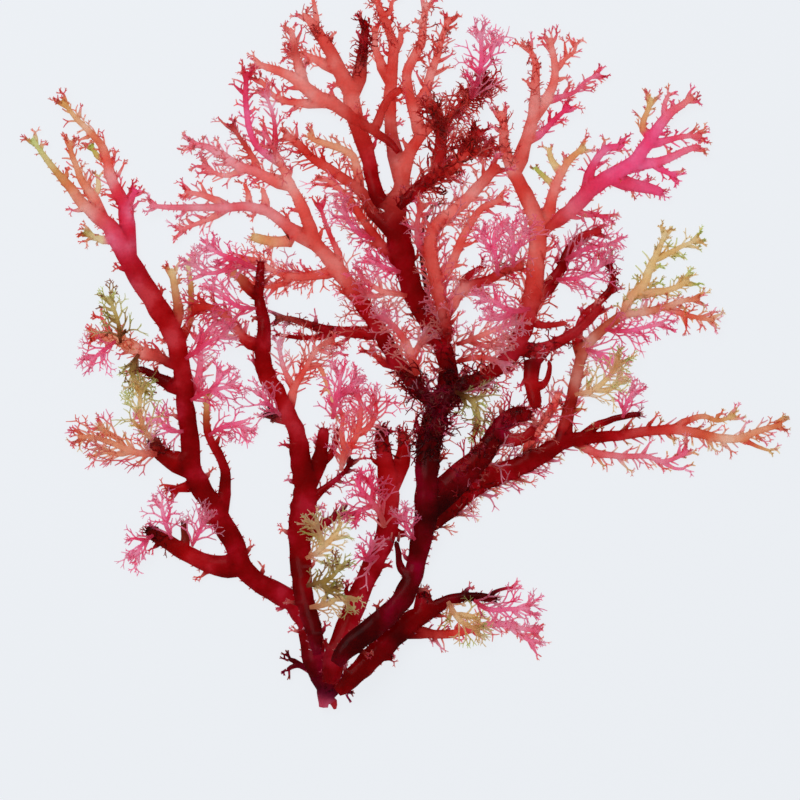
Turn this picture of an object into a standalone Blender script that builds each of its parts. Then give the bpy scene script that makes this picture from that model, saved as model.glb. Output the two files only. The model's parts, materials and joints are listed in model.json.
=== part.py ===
"""Irish moss seaweed, one whole plant spread flat on the surface it lies on.

Metres, +Z up. The holdfast is at the origin, +Y runs from it towards the frond tips, z = 0 is the surface.
Routes, widths and thicknesses below are in millimetres. Each frond is a tree of flat ribbon blades: a side
blade grows out of a gap left in its parent's edge wall, so a frond is one closed skin with no inner walls.
Fronds are laid one after another, and each one bends up over those already lying under it.
"""

import math
import random

import bpy
import numpy as np

MM = 0.001
FINE_STEP = 0.5  # spacing of the points that a route is smoothed into
FIT = 0.44  # how far the faceted ribbon may stray from its smooth route
THICKNESS_AT_NO_WIDTH = 0.55
THINNEST = 0.64
THICKEST = 1.6
THICKNESS_PER_WIDTH = 0.17
HOLDFAST_THICKNESS = 3.2
HOLDFAST_TAPER = 0.6  # thickness of the holdfast's side arms against its foot
LAYER_GAP = 0.42  # clear height between a frond and what it lies on
SIDE_CLEARANCE = 0.75  # how far beside a blade something must be to lie level with it
STEEPEST = 0.32  # rise over run of a blade that climbs over another
STEEPEST_IN_FROND = 0.8
TIP_LIFT = 2.4  # most that a hand-drawn blade curls up at its tip
LEAST_LIFTED = 12  # shorter blades don't curl up
CELL = 0.5  # grid that records how high the pile is
GRID_LOW = (-100.0, -20.0)
GRID_CELLS = (500, 460)
IN_FROND_GAP = 0.3  # between blades of one frond that cross
LAY_MARGIN = 0.35  # how far beside a blade the pile counts as covered
BASE_RUN = 7.0  # length over which a frond's base widens
BASE_SHARE = 0.62  # width at its very base
BLUNT_RUN = 1.3  # length over which a blunt tip narrows
BLUNT_SHARE = 0.6
WIDER = 1.14  # widths of the hand-drawn blades, against the numbers in NODES
PORT_MARGIN = 0.35  # length of edge wall kept between two side blades
LONGEST_PORT = 2.2  # in widths of the side blade
PORT_SHIFT = 1.0  # how far, past its own width, a side blade's root may move to find room
WEB = 0.35  # how much longer a port is than its side blade is wide, for the web in the crotch
LEAST_SINE = 0.45  # of the angle at which a side blade leaves, when its port is measured
LEAST_RUN = 0.3  # of a side blade's width, before its first section
MOST_OF_EDGE = 0.5  # of its parent's length, for one port
CLEAR_OF_PARENT = 0.1  # how far both edges of a side blade's first section stand off its parent

# Small branchlets along the edges: mean spacing, shortest, longest, root width, least and most lean in
# degrees
TEETH = (9.5, 1.2, 2.6, 1.1, 40, 72)
COMB = (5.2, 2.2, 4.6, 0.95, 36, 64)
BRISTLE = (4.0, 1.4, 3.2, 0.85, 30, 75)
TIP_FORK = (2.0, 3.6, 0.95, 24, 40)  # shortest, longest, root width, least and most lean
TIP_FORK_BACK = (0.8, 1.6)  # how far behind the tip a fork starts
FIRST_SPACING = (0.5, 1.0)  # against the mean spacing
NEXT_SPACING = (0.7, 1.3)
LAST_BACK = 1.2  # no branchlet along the edges starts nearer to the tip
CHANGE_SIDE = 0.8  # how often the next branchlet is on the other edge
MOST_OF_BLADE = 0.8  # widest root of a branchlet, against its blade, before a small addition
WIDTH_ADDED = 0.25
BRANCHLET_POINTS = 7
TOUCHES_PARENT = 3  # points of a branchlet, from its root, that may be near its parent
TOUCHES_OTHERS = 2
BEND = (-0.12, 0.22)  # how far a branchlet bends along its parent, in its own lengths
BRANCHLET_TAPER = (1.0, 0.75)  # widths against the root width, before the tip
BRANCHLET_TIP = 0.35
TWIG_CLEARANCE = 0.35  # beside a branchlet
TWIG_HEADROOM = 0.25
LEVEL = 0.02  # heights nearer than this count as equal

CRIMSON = (0.26, 0.006, 0.010)
DARK_CRIMSON = (0.13, 0.004, 0.010)
SALMON = (0.55, 0.085, 0.075)
ROSE = (0.55, 0.05, 0.11)
PINK = (0.78, 0.13, 0.25)
TAN = (0.52, 0.33, 0.14)
OLIVE = (0.34, 0.27, 0.08)
PURPLE = (0.08, 0.006, 0.03)

# Each node: name, colour, and its blades as (name, parent, widths, route, dressing).
# Widths are spread evenly along the route. Dressing: teeth, comb, bristle or bare, then blunt or fork at
# the tip.
NODES = (
    ("holdfast", PURPLE, (
        ("foot", "", "2.2 2.6 4.8 5.2 4.2 3 2.4", "-0.4,-4 -0.2,-2 0.5,0.4 0.9,2.4 1.4,4.6"
         " 1.8,7", "bare blunt"),
        ("left_lobe", "foot", "2.6 2.6 2.2 1.8", "0,1.6 -2,4 -3,6.2 -3.4,8.8", "bare blunt"),
        ("right_lobe", "foot", "2.6 2.6 2.2", "1,1.2 4,2.6 6.2,4.4 8,6.2", "bare blunt"),
        ("arm", "left_lobe", "1.6 1.4 1.2 .9", "-2.6,5.4 -4.8,6.8 -7.4,7.6 -9.6,7 -10.8,5.8", "bare"),
        ("spur", "arm", "1.1 .8", "-7,7.5 -8.6,8.8 -10.4,9.4", "bare"),
        ("drop", "foot", "1.4 1.2", "1,-1.2 2.4,-2.6 2.8,-4.6", "bare blunt"),
        ("claw", "right_lobe", "1.3 .8", "4,2.4 5.2,0.8 6.6,-0.6", "bare"),
    )),
    ("left_frond", CRIMSON, (
        ("A", "", "5.2 6 5.2 4.6 5.2 5 4.7 4.3 4.5 5.1 5.1 4.6 3 1.8 .9",
         "-2.3,4.8 -2.8,8 -3.4,12.6 -4.4,19 -8,24.5 -12.4,27.3 -17.5,30.2 -21.9,33.5 -24.1,38.3"
         " -26.3,43.4 -29.3,48.5"
         " -32.2,53.7 -35.1,58 -37.3,63.2 -37.7,69.8 -38.1,74.2 -39.2,80.8 -39.2,85.2 -40.3,91.8"
         " -41.7,98.4"
         " -44.5,104 -47.5,109 -51,114.5 -54,119.5 -57,125 -60,130 -64,133.5 -68,137 -71,141 -75,145.5"
         " -78.5,150 -82,155", "teeth fork"),
        ("A1", "A", "3.4 3.2 3 2.6 2 1.4 .9",
         "-53,121 -54.5,127 -55.5,132 -56,136 -58,140 -60,144.5 -61,149 -62.5,153 -66,157 -69.5,160.5"
         " -73.5,165.5",
         "comb fork"),
        ("A1a", "A1", "2.2 1.4", "-55.6,134 -54.4,138.5 -52.6,140.8", "comb fork"),
        ("A1b", "A1", "1.4 .8", "-61,148 -64,150.5 -65.5,153.5", "teeth fork"),
        ("A2", "A", "3 2.4 1.8 1.4 1", "-60,130 -63,135 -65.5,139.5 -68,143 -69.5,147 -71,151"
         " -71.2,154.5",
         "comb fork"),
        ("A2a", "A2", "1.4 .9", "-64.6,138 -63.4,141.5 -63.6,145", "teeth"),
        ("A3", "A", "2 1.4 1", "-58,126.5 -62,126.5 -65,127.8 -67.5,129", "comb fork"),
        ("A4", "A", "4.4 4 3.8 3.4", "-23,36 -29.3,35.3 -33.7,36.4 -38.1,38.6 -42.5,41.2 -46.1,43.4"
         " -49.5,46",
         "teeth blunt"),
        ("A4a", "A4", "1.8 1.4", "-38.6,39.5 -39.2,44 -39.6,47.6", "bare blunt"),
        ("A5", "A", "2.8 2.4 2 1.2",
         "-28.6,47 -28.2,55 -27.8,61 -29.4,66 -32.3,71.3 -33.1,75.7 -33,80 -33.4,83.5", "teeth fork"),
        ("A6", "A", "2.4 1.5", "-35,58.5 -38.5,57.5 -41,57 -43.4,56", "teeth fork"),
        ("A7", "A", "4.4 3.6 3", "-37.5,63.5 -43,65 -46.5,67.5 -48.5,71", "teeth blunt"),
        ("A8", "A", "3.4 2.4 1.2", "-39.4,83.5 -45,87 -49.5,89.5 -53,91", "teeth fork"),
        ("A9", "A", "2 1.8 3 3.4 3 2.4 1.6",
         "-40.2,90 -44,92.4 -47.5,94.2 -51.5,95 -55.7,97.7 -60.8,99.5 -65.8,100", "bristle fork"),
        ("A9a", "A9", "1.2 .8", "-60,100 -61.4,103 -63,105.4", "bare"),
        ("A10", "A", "2.4 2 1.4", "-42,101 -41,107 -42,113 -42.8,118.6", "teeth fork"),
        ("A11", "A", "1.8 1.5 1", "-41,97.6 -37.8,104 -37.4,110 -37.6,115 -38.5,121", "teeth fork"),
        ("A12", "A", "1.8 1.6 1", "-39,80.5 -35.7,87 -34.8,93 -35.2,100", "comb fork"),
    )),
    ("short_frond", CRIMSON, (
        ("C", "", "5.6 5.6 5 5 5.2 4.4 3", "1.3,3.2 2.1,6.2 3.2,10.4 5.4,16.4 8.3,24 11.2,31 14.5,38"
         " 17,44 17.9,52"
         " 17.6,60 16.4,67 15.8,74.5", "teeth blunt"),
        ("C1", "C", "3.2 3.2 2.6", "18,57 20.8,62.6 22.2,68 21.6,73", "teeth blunt"),
        ("C2", "C", "1.4 .8", "8.6,24.5 6.6,26.6 5.6,29.4", "bare"),
        ("C3", "C", "1.8 1.2", "18,46.6 20.8,44.4 23,44.6", "bare"),
    )),
    ("lower_frond", CRIMSON, (
        ("F", "", "4 4.8 5.6 5.8 4.8 3 2.2 1.9", "3.6,1.2 6,3.1 9.5,6.7 14.4,11.6 19,16 24,19.8 29,22.8"
         " 33.5,25.2"
         " 38,26.6 43,26.8 48,26", "teeth blunt"),
        ("F1", "F", "2.4 2.2 2 1.8 1.4 1", "20,16 26,16.8 32,16.2 38,16.8 44,18.6 50,19.2 55,18"
         " 60,17", "comb fork"),
        ("F1a", "F1", "1.3 .8", "50.6,19 55,15.8 59,13.2", "comb fork"),
        ("F3", "F", "3.2 2.8", "26,21.4 27.2,25 28,28.8", "teeth blunt"),
        ("F4", "F", "2.2 1.8", "15,12 17.8,10.6 19,10.2", "bare blunt"),
        ("F5", "F", "1 .7", "45,26.6 48.6,28.6 53,29.4", "bare"),
    )),
    ("right_frond", CRIMSON, (
        ("E", "", "4 5.6 5.6 5 4.4 3.4 2.6 2.4 2.4 2.2 1.8 1.2",
         "28,45.4 31.4,48.6 34.6,52 38.6,55.6 44,59.3 50,61.5 56,64 62,67.3 67,70.2 74,71.2 82,71.8 90,73"
         " 98,73.5 104,72.5 110,71.2 116,71 121,73 128,75", "comb fork"),
        ("E0a", "E", "1.6 .9", "98,74 102,76.2 106,77.2 110,76 115,77.6", "teeth fork"),
        ("E0b", "E", "1.1 .7", "116.6,70.8 121.4,68.6 125,67.4", "bare"),
        ("E0c", "E", "2 1.6 1.2 .9", "69.6,70.5 75,67.3 80,66.3 85,66 90,66 94.5,64.6 99,66"
         " 101.5,68", "comb fork"),
        ("E0d", "E0c", "1 .7", "94,64.6 98,62.6 101,62.6", "bare"),
        ("E2", "E", "1.7 1.6 1.4", "71.8,71.6 76,74.6 80,76.2 84,77.3 88,77.8", "bare blunt"),
        ("E3", "E", "2.8 2.8 2.8 2.6 2.4 2 1.6 1",
         "66.4,70.5 67.8,77 69.4,84 70.9,90.5 72.3,95.5 75.5,99.5 79.5,103 84,105.7 90,106.5 96,108"
         " 100,109.5"
         " 105,110", "teeth fork"),
        ("E3b", "E3", "2.2 2 1.4", "71.8,93.6 70.6,99 72.4,105 76.6,109 80,113 80.4,117"
         " 78.6,121.4", "teeth fork"),
        ("E3e", "E3", "1.6 .8", "95,107.8 101,105.6 105,104.6 109,104", "comb fork"),
        ("E4", "E", "2.4 2.2 1.8", "56.5,64 57.6,70 61,75.5 64,80 65.2,84", "teeth blunt"),
    )),
    ("main_frond", DARK_CRIMSON, (
        ("D", "", "4.6 5.6 5.2 4.6 5.6 5.6 6 5 4.4 5.2 5.4 6.2 4.2 3 2",
         "3.3,9 6.3,13.1 11,17 17,21.6 22,27 25,34 26.5,41 28,48 28.4,56 28.6,64 29.5,72 32,80 34.6,88"
         " 33.2,95.5"
         " 29.8,102.5 25.8,109.5 22.8,117.5 20.8,127 19.8,134 21.3,141 22.5,147.5 25,153 28.4,157"
         " 32.4,160",
         "teeth fork"),
        ("D16", "D", "1.7 1.5 1.2", "24,31.5 21.2,35 20.4,40 19.8,42.6", "bare"),
        ("D17", "D", "4.2 5.4 5.8 5.4 4.6 4.2 3.2",
         "29,50.6 32.8,55.6 38,60.8 43.5,65.8 47,71 49.8,75.4 53.6,77.8 57.6,77.4", "teeth blunt"),
        ("D18", "D17", "3 2.6 2", "47.5,72 52,70.6 56.2,71.6 58.4,74.2", "teeth blunt"),
        ("D14", "D", "2.6 2.2 1.6 1", "22.4,119 17,123.4 13.5,128.2 10,133.2 7,138 3,141.6"
         " -1,144.6", "comb fork"),
        ("D12", "D", "3 2.6 2.2 1.6", "19,129 13.4,134.5 10.6,139.5 5.6,143.4 0,147.2 -4,149.7 -6.5,152.5"
         " -9.5,154.8 -11.8,155.8", "comb fork"),
        ("D12a", "D12", "2 1.8 1.4", "9.8,140 9,146 7.8,150 4.5,152 1,153.2 -3,154.6"
         " -5,156.4", "bristle fork"),
        ("D2", "D", "3 3.2 3.6 4 4.2 4 3.4 2.6 1.6",
         "18.6,134 14.8,138.6 13.2,144 12,150 10,156 8,162 7,168 4,174 1,180 -3,186"
         " -6,190", "teeth fork"),
        ("D2a", "D2", "2.4 1.8 1", "4.5,173 -0.5,176 -5,178 -10,179.4", "comb fork"),
        ("D2b", "D2", "1.4 .8", "-2.2,184.6 -2.6,190 -3.6,195", "teeth"),
        ("D4", "D2", "3 2.6 1.6", "7,165.6 9.6,172 10.4,178 11,183 11.5,188", "bristle fork"),
        ("D5", "D", "3.2 3 3 3 2.6 2 1.4",
         "21.4,141.5 19.9,149 18.4,158 18.2,166 18.8,174 19.2,180 17.5,186 15.5,190.5"
         " 14,195", "teeth fork"),
        ("D5a", "D5", "2.2 1.8 1", "18.2,170 15.6,176 14.2,180 13.6,186.5", "comb fork"),
        ("D5b", "D5", "1.3 .8", "16.4,188.4 18.4,190.6 18.4,193.6", "teeth"),
        ("D5c", "D5", "1.6 1", "19,178.4 21,182 21.2,186", "bristle"),
        ("D6", "D", "2.6 2.6 2.4 2 1.4",
         "26.8,155.3 25.6,160 24.2,165 23,170 23,173.5 24.8,177.5 27,181.5 27.5,187"
         " 28.5,193", "teeth fork"),
        ("D7", "D6", "2.4 2.2 1.6 1.2", "24.8,162.6 28,167.6 29.8,173.5 31.6,178.5 33,184"
         " 35,189", "comb fork"),
        ("D15", "D", "1.4 1.2 1", "31,104.4 29.2,110.5 27.6,118 27,126 28,132 30.5,136.5", "bare"),
    )),
    ("dark_branch", DARK_CRIMSON, (
        ("D8", "", "2.6 3.2 3 2.6 1.8", "20.6,135.2 23.4,138.2 27,141.4 31,144.3 35.5,146.5 38.5,150.5"
         " 41,154 43,157.6",
         "bristle fork"),
        ("D8a", "D8", "2.8 2.8 2.4", "31,144 32,150 32.5,156 31.5,161 28.5,165.5", "teeth blunt"),
        ("D8b", "D8a", "1.8 1.4 1", "32.3,156 36,162 40,165.6 43,168 46,171.4", "bristle fork"),
        ("D8c", "D8", "1.8 1.4", "39,151 43.6,151 47.4,153.4", "bristle fork"),
    )),
    ("crossing_branch", SALMON, (
        ("D3", "", "2 2 2.8 3.4 3.2 2.2 1.2", "20.6,150.6 18,153.7 14,156.5 8,160.3 3,164 -2,166.5"
         " -6,169.5"
         " -10,172.5 -15,174.5 -20,176", "teeth fork"),
        ("D3a", "D3", "2 1.6 .9", "1.4,164.6 -6,164.8 -12,165.6 -15.5,168 -18.5,172", "comb fork"),
        ("D3b", "D3", "2.2 1.8 1.3", "-5.6,169.3 -7.6,176 -8.6,181 -9.5,186", "comb fork"),
        ("D11", "D3", "1.8 2 2", "14,156.6 15.6,161.5 18,166 21.5,168.4", "teeth blunt"),
    )),
    ("left_crown_frond", SALMON, (
        ("G", "", "3 3.6 3.8 3.8 3.9 4 3.6 3.2 3 2.4 1.4 .9",
         "30.6,79.6 28,82.4 25,85.8 22.8,89 20.2,92.4 17.5,97 14.8,102 11.5,107 8,112 4.5,117 1,121.5"
         " -2.5,125.5 -4.5,131"
         " -7,137 -10,142.5 -12,147.5 -14.5,152.5 -17.5,157", "teeth fork"),
        ("G1", "G", "3 2.8 2.4 2 1.6 1", "-2,125 -7,127.8 -11.5,131.2 -16,134.5 -22,135.8 -28,135.5"
         " -33,135.5"
         " -38,135.5 -43,135.5 -49,136", "teeth fork"),
        ("G1a", "G1", "1.8 1.4 1", "-26.6,135.6 -31,137.9 -35,139.3 -39.5,140", "comb fork"),
        ("G1c", "G1", "1.5 .8", "-27.5,135 -32,132.6 -37,130.6 -41,129", "comb fork"),
        ("G1d", "G1", "1.8 1", "-16.5,134.8 -16.8,138.5 -17.8,141.4", "teeth"),
        ("G1e", "G1", "1.5 .8", "-21.2,135.8 -21.5,139.5 -22.8,142.8", "teeth"),
        ("G2", "G1", "2.5 2.2", "-6,127.2 -12,126 -17,126.5 -20.5,127.3", "teeth blunt"),
        ("G3", "G", "2.4 2 1.4 1", "4,118 -2,116.8 -7,116.2 -12,117 -15.5,118.5 -19,121"
         " -24,120.8", "comb fork"),
        ("G3a", "G3", "1.4 .8", "-8.5,116.3 -13,113.8 -18,113.6 -22,114.6", "comb fork"),
        ("G4", "G", "2.6 2.4 2 1.2", "-9.6,141.8 -15,143.5 -19,145.5 -24,147.2 -29,150.4 -33,152.5"
         " -38,153.3",
         "comb fork"),
        ("G4b", "G4", "1.6 1.2 .9", "-18,145 -20.4,150 -23.4,154.5 -26.4,159", "bristle fork"),
        ("G4c", "G4", "1.4 .8", "-22.5,146.6 -27,144.6 -31,145.4 -34.5,148", "comb fork"),
        ("G5", "G", "1.8 1.5 1.2", "-12,147.6 -15.6,150 -19.4,153.4 -21.2,158 -22,164 -22,170"
         " -21.5,173.5",
         "comb fork"),
        ("G6", "G", "1.3 1 .8", "-13.8,151 -13.8,156 -14.2,160 -15.5,164.5 -17,168", "comb fork"),
        ("G8", "G", "1.5 1.2 .8", "3.6,118 4,121.9 2.4,125.7 0.8,129.5 -0.6,133.5"
         " -1.5,137", "teeth fork"),
        ("G9", "G", "2.8 2.4 2 1", "15.8,100.2 11,100.5 5,101 0,101.5 -5,103 -10,104.5"
         " -14,104.8", "teeth fork"),
        ("G9a", "G9", "1.6 .8", "4,101 -3,99.2 -9,99.4 -14,100.2", "teeth"),
        ("G10", "G", "1.8 .9", "21,91.4 17.2,91.8 14.3,94 12.5,96", "teeth fork"),
    )),
    ("right_crown_frond", SALMON, (
        ("H", "", "3.2 3.4 3.8 4.2 4.6 4.6 4.4 4.2 3.8 3.2 2.4 1.6",
         "33.4,80.4 35.6,83.4 39.4,86.2 43.4,87.8 48,90.6 52,94.4 55,100 57,107 58.5,114 59,121 59.6,128"
         " 58,135 54.5,142"
         " 51.5,148 50,153 50,158 49,162.5", "teeth fork"),
        ("H1a", "H", "3 3 2.8 2 1", "53,145 55.2,151 57.2,157 58.5,163 58.8,170 58.8,176"
         " 56.5,181", "teeth fork"),
        ("H1b", "H1a", "2.4 2 1.2", "58,160 61.6,165.4 64,170.5 64.2,176 62.8,183", "teeth fork"),
        ("H1c", "H1b", "1.6 1 .8", "62,165.4 66,166.5 70,168 73,171 77,173", "comb fork"),
        ("H1d", "H1b", "1.2 .8", "64.3,173 67,177 69.5,179 70.5,182", "comb"),
        ("H1e", "H1a", "1.8 1.4 1", "56,153.6 60.5,156.4 64,159.9 68.5,164", "comb fork"),
        ("H6", "H", "2.8 2.6 2 1.2", "59.6,126 62.4,134 64.3,141 66.5,146 69.5,150"
         " 73,152.5", "teeth fork"),
        ("H6a", "H6", "1.4 .9", "64.4,141.5 61,144.6 58.4,147", "teeth"),
        ("H6b", "H6", "1.6 1.1", "66,145 63.4,149 62.6,152.6", "teeth"),
        ("H4", "H", "2.8 2.6 2.2 1.4", "58,109 62.6,113.5 66.3,119 68.2,123.5 71,127 74.5,128.5 77.5,129",
         "teeth fork"),
        ("H2", "H", "2.8 2.6 2", "53.6,97 58,95.6 63,97 68,99.5 73,103.5 77,108", "teeth fork"),
        ("H3", "H", "1.7 1.2", "56.4,104.6 60,102.8 64,102.8 68,103.4", "teeth"),
        ("H5", "H2", "3.2 3.4 3", "58.6,96 57.6,90 58,84 58.8,79.5", "teeth blunt"),
        ("H5a", "H5", "1.6 1", "58,84.6 61.4,86.6 62.8,90.6 62.4,93", "bare"),
    )),
    ("rose_arm", ROSE, (
        ("R", "", "2.8 3.6 4 3.8 3.4 3 2.2 1.2",
         "61.4,129 65,131.8 70,136 74,140.3 80,144.5 86,148 89.5,152.5 92.5,157 96,161.5 99.5,164"
         " 103,166.5",
         "teeth fork"),
        ("Ra", "R", "2 1.8 1.4", "73,139.6 74,145 76.2,149.5 79,152 84,153", "comb fork"),
        ("Rb", "R", "2.8 2.8 2.2", "79,143.8 86,142 91,140.8 94.5,139.5", "bristle blunt"),
        ("Rc", "R", "2.4 2 1.4", "85,147.4 91,148 96,149.2 100,151.2 105,152.8", "teeth fork"),
        ("Rd", "Rc", "1.5 1", "91,148.2 95,145.8 98.6,144.2", "comb fork"),
        ("Re", "R", "1.8 1.4 1", "89.4,152.6 95,154.2 100,155.4 105.5,155.6", "comb fork"),
        ("Rf", "R", "1.6 1.1", "90.6,154.2 88.9,158.5 90.4,163 91.5,166.5", "comb fork"),
        ("Rg", "R", "1.2 .9", "95,160.4 95,164.6 96.6,168", "teeth"),
        ("Rh", "R", "1.4 .8", "69,135.2 73,133.6 76.5,133.4 80,132.5", "comb fork"),
    )),
    ("inner_frond", SALMON, (
        ("I", "", "2.4 3 3.3 3.2 3 3 2.8 2.4", "34.6,98 33.6,104 31.8,111 30.2,119 29.4,126 31.6,131.2"
         " 36,134.6"
         " 41,139.2 45,143.5 48.5,147", "comb fork"),
        ("I1", "I", "2.6 2.6 2.2 1.6", "33.4,104.4 37,111 41,113.8 46,115.5 50.5,117.8"
         " 55.5,119.3", "teeth fork"),
        ("I1a", "I1", "1.8 1.2", "36.8,110.8 39.6,116 44.5,119.4", "teeth"),
        ("I3", "I", "2.2 2 1.4", "31,114.4 35.4,119.8 38,126 40.6,131 44,135.4 50,138", "comb fork"),
        ("I4", "I", "1.6 1.2", "30,120 26.4,125 25.8,131 27.4,136.6", "comb fork"),
    )),
    ("second_frond", CRIMSON, (
        ("B", "", "3 4.2 4.6 5.1 5.5 6.4 5.6 5 4 3.6 4.4 3.8 3 2.2 2",
         "-1.8,11.4 -2.8,17.4 -4.8,24 -5.9,28 -6.5,33 -6.9,39 -6.9,46.3 -5.9,52.2 -5.5,58 -6.7,63.9"
         " -7.3,69.8"
         " -8.4,74.2 -10.9,79.3 -13.1,83.7 -16,88.1 -17.3,93.3 -16.9,99.1 -17,104 -18.2,109 -18.2,113"
         " -18,117"
         " -17.8,120.4", "teeth blunt"),
        ("B1", "B", "2.4 1.8", "-18.4,110.6 -21.5,113.3 -24,116.2 -27.2,117.6", "teeth blunt"),
        ("B2", "B", "2.6 2.2 1.8", "-17,96 -22.5,98.8 -25.5,102.5 -29,106.3 -33,107.6"
         " -37.2,107", "comb fork"),
        ("B3", "B", "2.4 1.8", "-9.6,76 -13.4,77 -16.4,78.8", "bristle fork"),
        ("B4", "B", "3 3 2.6", "-5.6,56.6 -2.4,62 -1,68 -0.2,74", "teeth blunt"),
        ("B5", "B4", "1.7 1.5 1.4", "-1.9,63.4 1.6,66.6 2.9,70 3.4,73.6", "teeth blunt"),
        ("B6", "B", "2.2 1.6 1.2 1", "-10.4,78 -8.6,85 -6,89.6 -3.5,94 -1,97 3,98.4", "comb fork"),
        ("B6a", "B6", "1.4 .9", "-8.8,85 -11.4,90.5 -12.4,95 -13,98.6", "comb fork"),
        ("B6b", "B6", "1.2 1 .8", "-5.2,91 -2,91.4 -0.3,88.6 0.8,85.4 2,81.6 2.4,77.5", "teeth"),
        ("B6d", "B6", "1 .7", "-1.8,96 1,94.8 5,95", "bare"),
        ("B7", "B", "2.4 2 1.2", "-6.6,42.6 -2,45.8 2,48.5 6.2,51", "bristle fork"),
        ("B8", "B", "1.7 1.4 1", "-5.8,52 -1,56.4 3,59.4 6,62.3 7.8,65.5", "bristle fork"),
    )),
    ("tan_arm", TAN, (
        ("K", "", "2 2.4 2 1.4 1", "83,106.2 85.2,110 89,114 91,119 93.5,124 95.5,129.5", "comb fork"),
        ("K1", "K", "2 1.6 1.2", "86.2,111.4 92,111.8 97.5,113 102,115.4", "bristle fork"),
        ("K2", "K", "1.4 .9", "91.8,120.6 96,122.8 100,124.8 105,127", "comb fork"),
    )),
    ("salmon_spray_centre", SALMON, (
        ("S1", "", "2.2 2.2 1.6 1", "25.8,88.6 24.5,93 22.5,98 19.5,102 15.5,105.6", "comb fork"),
        ("S1a", "S1", "1.6 1", "24.6,92.8 26.4,97 28.8,99.8", "comb fork"),
    )),
    ("salmon_spray_inner", SALMON, (
        ("S2", "", "1.5 1.6 1.4 1", "4.6,62 5.4,67 8.5,71 9.8,76 10,81 8.2,84.4", "comb fork"),
        ("S2a", "S2", "1.4 .9", "9,71.8 12.7,74.6 14.4,79 13,83.5", "comb fork"),
        ("S2b", "S2", "1.3 .9", "5.8,67.6 4.6,72.6 5.6,78.4", "comb fork"),
    )),
    ("salmon_comb_upper", SALMON, (
        ("S3", "", "1.5 1.4 1.2 .9", "36.6,97.2 41,98.6 46,100.8 50.4,102.2 53.4,104", "comb fork"),
        ("S3a", "S3", "1.2 .8", "40,98.2 45,96.8 50.6,97.4", "comb fork"),
    )),
    ("salmon_comb_lower", SALMON, (
        ("S4", "", "1.6 1.3 .9", "37,92.4 42,93.6 47,93 50.6,91", "comb fork"),
    )),
    ("salmon_comb_trunk", SALMON, (
        ("S5", "", "1.5 1.3 .9", "23,110.8 16.5,112 12.5,114.2 9,117", "comb fork"),
        ("S5a", "S5", "1.2 .8", "17.6,111.7 13.6,110.6 10,111.4", "comb fork"),
    )),
    ("pink_spray_A1", PINK, (
        ("P1", "", "1.5 1.2 .9", "-38.8,93.2 -35,96 -31,98.6 -27,100", "comb fork"),
        ("P1a", "P1", "1.1 .8", "-35.6,95.6 -33,100.5 -30,104", "comb fork"),
    )),
    ("pink_spray_A2", PINK, (
        ("P2", "", "1.4 1.1 .9", "-37.4,81.6 -33,84 -29,85 -25,86.2", "comb fork"),
        ("P2a", "P2", "1.1 .8", "-32,84.3 -29.6,87 -28.5,90", "comb fork"),
    )),
    ("pink_spray_A3", PINK, (("P3", "", "1.3 1.1 .8", "-32.4,71.8 -29,74 -25,75"
         " -21.5,72.7", "comb fork"),)),
    ("pink_spray_A4", PINK, (("P4", "", "1.3 1.1 .8", "-39.4,73 -43.5,73.3 -46.5,76.3"
         " -50,75.6", "comb fork"),)),
    ("pink_spray_A5", PINK, (("P5", "", "1.3 1.1 .8", "-42.6,43 -44.6,48 -46,53.4", "comb fork"),)),
    ("pink_spray_A6", PINK, (("P6", "", "1.2 1 .8", "-37,41 -34.8,45.5 -33,49.6", "comb fork"),)),
    ("pink_spray_A7", PINK, (("P7", "", "1.3 1 .8", "-47.8,44.2 -51,41.3 -53.2,37.6", "comb fork"),)),
    ("pink_spray_A8", PINK, (("P8", "", "1.3 1.1 .8", "-58.4,98.2 -62,95.4 -66,92.6", "comb fork"),)),
    ("pink_spray_B1", PINK, (
        ("P9", "", "1.5 1.3 1 .8", "-19,118.2 -25,121 -29,122.5 -33.4,125", "comb fork"),
        ("P9a", "P9", "1.3 1 .8", "-24.4,120.8 -28,118 -33,117.2 -37.5,120.4", "comb fork"),
    )),
    ("pink_spray_B2", PINK, (("P10", "", "1.3 1.1 .8", "-19,107.2 -24,107.8 -28.5,111"
         " -31.5,113.8", "comb fork"),)),
    ("pink_spray_B3", PINK, (("P12", "", "1.3 1 .8", "-12.2,77.4 -15.5,80.5"
         " -17.8,84.4", "bristle fork"),)),
    ("pink_tree", PINK, (
        ("P14", "", "1.4 1.2 .9", "2.2,76.4 3.2,82 4.2,86 4.2,90.4", "comb fork"),
        ("P14a", "P14", "1.2 .8", "3.3,82.4 7.2,85 9.4,88.4", "comb fork"),
    )),
    ("hot_pink_spray", PINK, (
        ("P16", "", "1.7 1.5 1.2 .9", "16.8,46.2 15.2,50.5 12.8,53.8 10.3,56.5 8.5,60", "comb fork"),
        ("P16a", "P16", "1.2 .8", "14,52.6 10.4,51.2 8.2,49.4", "comb fork"),
        ("P16b", "P16", "1.2 .8", "13.4,53.4 13.4,57 12.4,60.4", "comb fork"),
    )),
    ("pink_spray_C1", PINK, (("P19", "", "1.2 1 .8", "15.2,38.4 12,37 12.6,39.6 14.2,42", "comb fork"),)),
    ("pink_spray_C2", PINK, (("P20", "", "1.2 1 .8", "25.2,42.8 23,46.2 21.6,50", "comb fork"),)),
    ("pink_spray_D1", PINK, (("P21", "", "1.5 1.2 .9", "21.2,117.4 16.5,118.8 12,121.4", "comb fork"),)),
    ("pink_spray_D2", PINK, (("P22", "", "1.4 1.2 .9", "14,126.6 9.6,128.2 6.6,131.8"
         " 4.5,136", "comb fork"),)),
    ("pink_spray_I1", PINK, (
        ("P25", "", "1.2 1 .8", "48.3,116.2 47.6,122 47.2,127 48.6,131.4", "comb fork"),
        ("P25a", "P25", "1 .8", "47.5,123 44.6,126 43.4,129.4", "comb fork"),
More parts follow.
